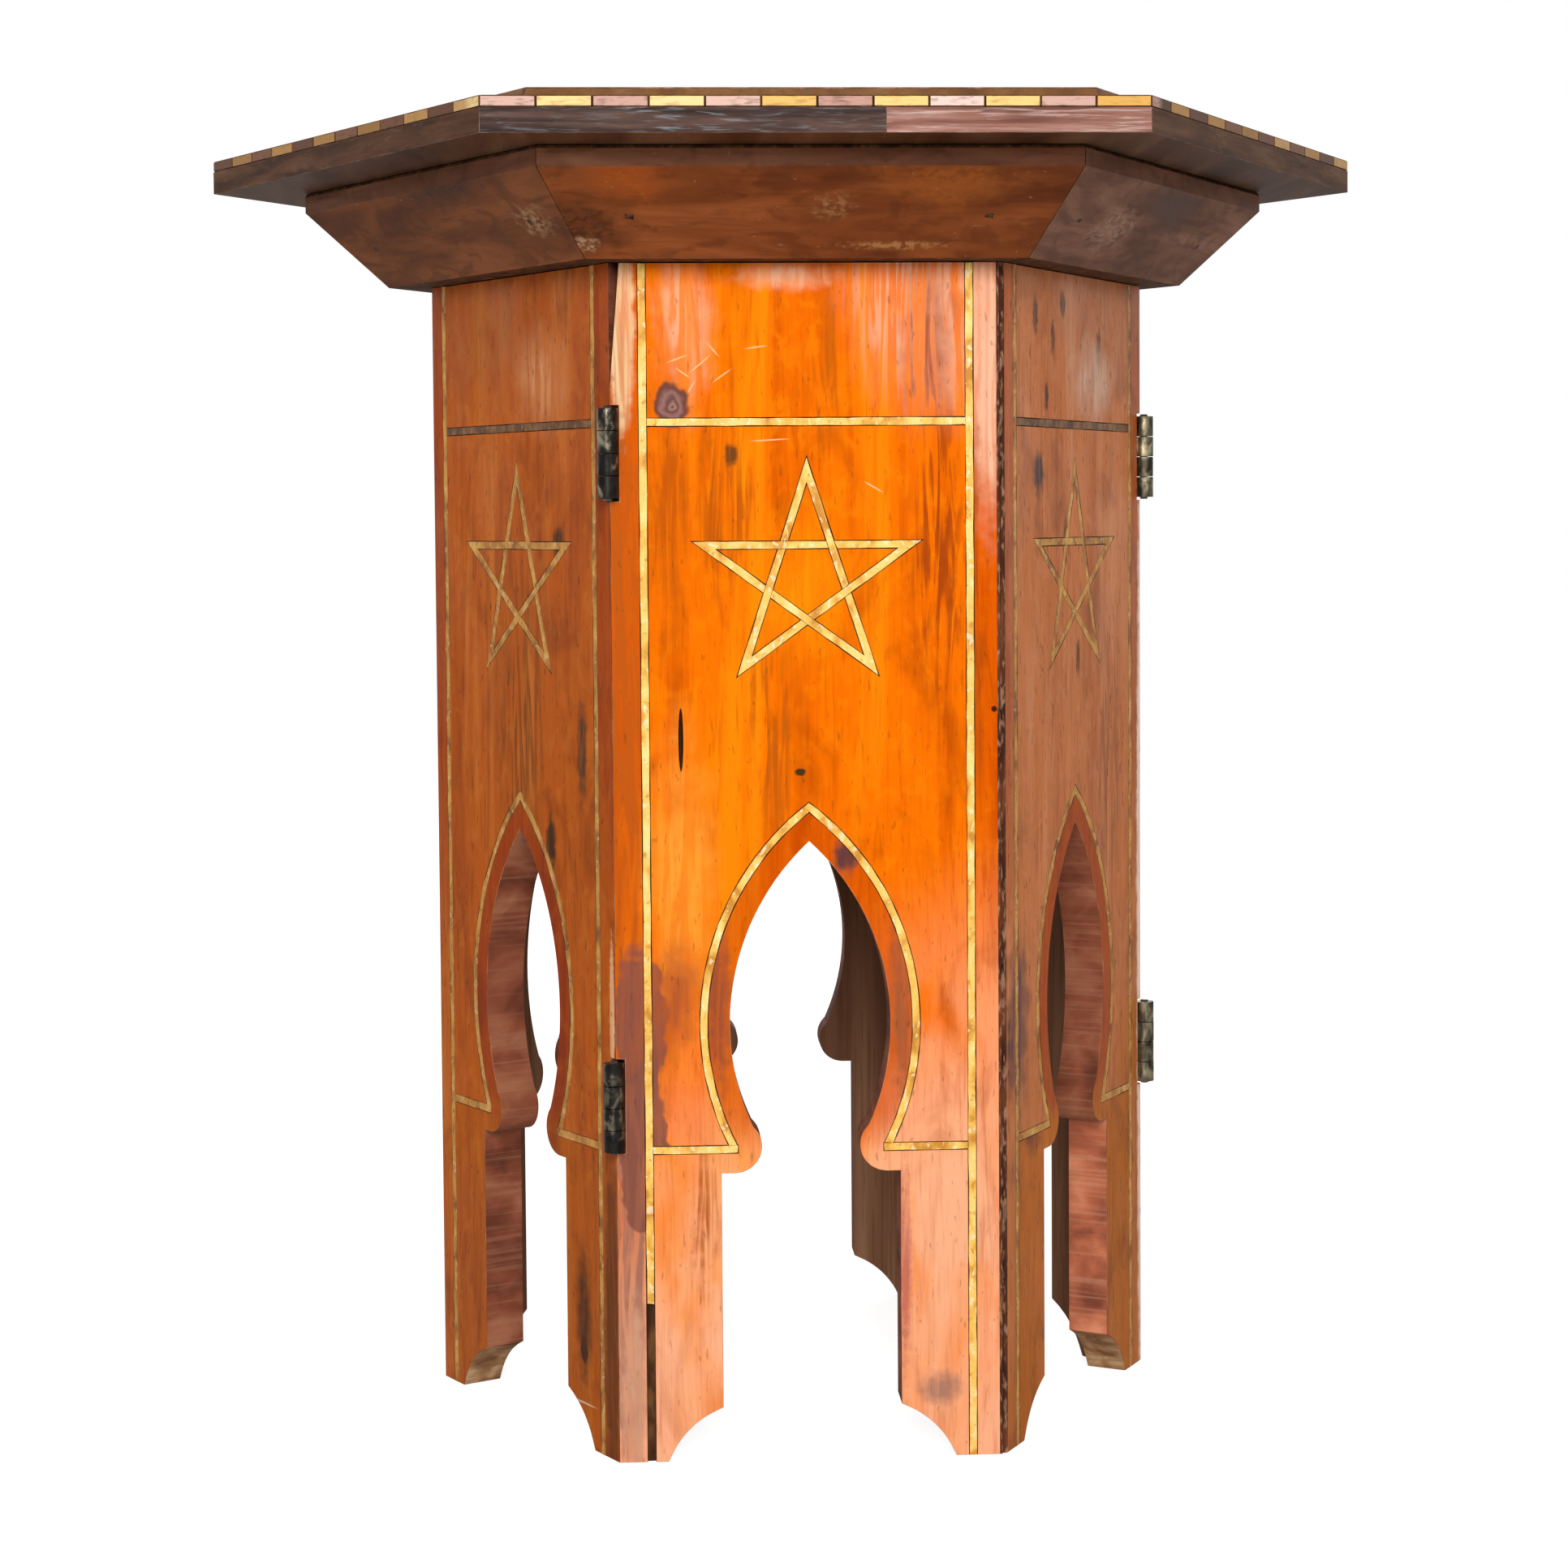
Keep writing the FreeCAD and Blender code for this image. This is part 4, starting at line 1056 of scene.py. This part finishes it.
def knuckle_end(edge):
    """A level edge round the end of a knuckle."""
    level = abs(along(edge).z) < LEVEL * MM
    return level and sharp(edge, 70) and any(len(face.verts) > 12 for face in edge.link_faces)


for side, name in enumerate(SIDES):
    for hand in ("right", "left"):
        source = name + "_panel_" + hand + "_leaves"
        finish = hinge_black if source in NEARLY_BLACK_LEAVES else hinge_brass
        worn_piece(source, side, name + "_side", (finish,), lambda centre, normal: 0,
                   ((barrel_edge, KNUCKLE_ROUND, 3), (knuckle_end, KNUCKLE_RIM, 1)), angle=50)

# %% [markdown]
# The small hardware keeps its solids: pins, screws, nails and the hidden locating pegs only need their
# finishes.

# %% Small hardware
HARDWARE = {"_pins": pin_steel, "_screws": screw_steel, "_nails": nail_iron, "_pegs": peg_beech}
for source, piece in frame["nodes"].items():
    for ending, finish in HARDWARE.items():
        if source.endswith(ending):
            piece.data.materials.clear()
            piece.data.materials.append(finish)
            print(source, "finished as", finish.name)

# %% [markdown]
# A plain studio, so that nothing draws the eye from the table. The floor shows white to the camera, mostly
# as its own light and partly as paint, so that the object's shadow still darkens it. All other rays see
# it as pale paint.

# %% Floor
bpy.ops.object.select_all(action="DESELECT")
bpy.ops.mesh.primitive_plane_add(size=12.0, location=(0, 0, -0.0005))
floor = bpy.context.object
floor.name = "studio_floor"
floor_paint = bpy.data.materials.new("white_studio_floor")
floor_paint.use_nodes = True
tree = floor_paint.node_tree
shader = tree.nodes["Principled BSDF"]
fill(tree, shader, {"Base Color": shade("#e8e8e8"), "Roughness": 0.9, "Specular IOR Level": 0.0})
glow = node(tree, "Emission", None, {"Color": shade("#ffffff"), "Strength": 0.86})
paint = node(tree, "BsdfDiffuse", None, {"Color": shade("#bcbcbc")})
seen = node(tree, "AddShader", None, {0: glow, 1: paint})
eye = node(tree, "LightPath", out="Is Camera Ray")
mixed = node(tree, "MixShader", None, {0: eye, 1: shader.outputs[0], 2: seen})
tree.links.new(mixed, tree.nodes["Material Output"].inputs["Surface"])
floor.data.materials.append(floor_paint)
print(floor.name, "laid")

# %% [markdown]
# Round the floor is an even surround: white to the camera, in mirrors and through glass, and a weak light
# for everything else. Two square lamps do the rest: a soft one in front and a little to the left, and a
# larger, weaker one behind, which lights the far side and the insides of the legs.

# %% Surround and lamps
SURROUND_LIGHT, LAMPS_AIM = 0.27, Vector((0, 0, 0.28))
world = bpy.data.worlds.new("studio_surround")
scene.world = world
world.use_nodes = True
tree = world.node_tree
eye = node(tree, "LightPath", out="Is Camera Ray")
white = eye
for ray in ("Is Glossy Ray", "Is Transmission Ray"):
    white = node(tree, "Math", {"operation": "MAXIMUM"}, {0: white, 1: eye.node.outputs[ray]})
strength = node(tree, "MapRange", None, {0: white, 3: SURROUND_LIGHT, 4: 1.0})
fill(tree, tree.nodes["Background"], {"Color": shade("#ffffff"), "Strength": strength})

for name, place, size, watts in (("front_lamp", (-0.15, -2.25, 1.15), 1.1, 43.0),
                                 ("back_lamp", (0.3, 2.4, 1.6), 1.4, 24.0)):
    bpy.ops.object.light_add(type="AREA", location=place)
    lamp = bpy.context.object
    lamp.name = name
    lamp.data.size = size
    lamp.data.energy = watts
    lamp.rotation_euler = (LAMPS_AIM - lamp.location).to_track_quat("-Z", "Y").to_euler()
    print(name, "lit with", watts, "W")
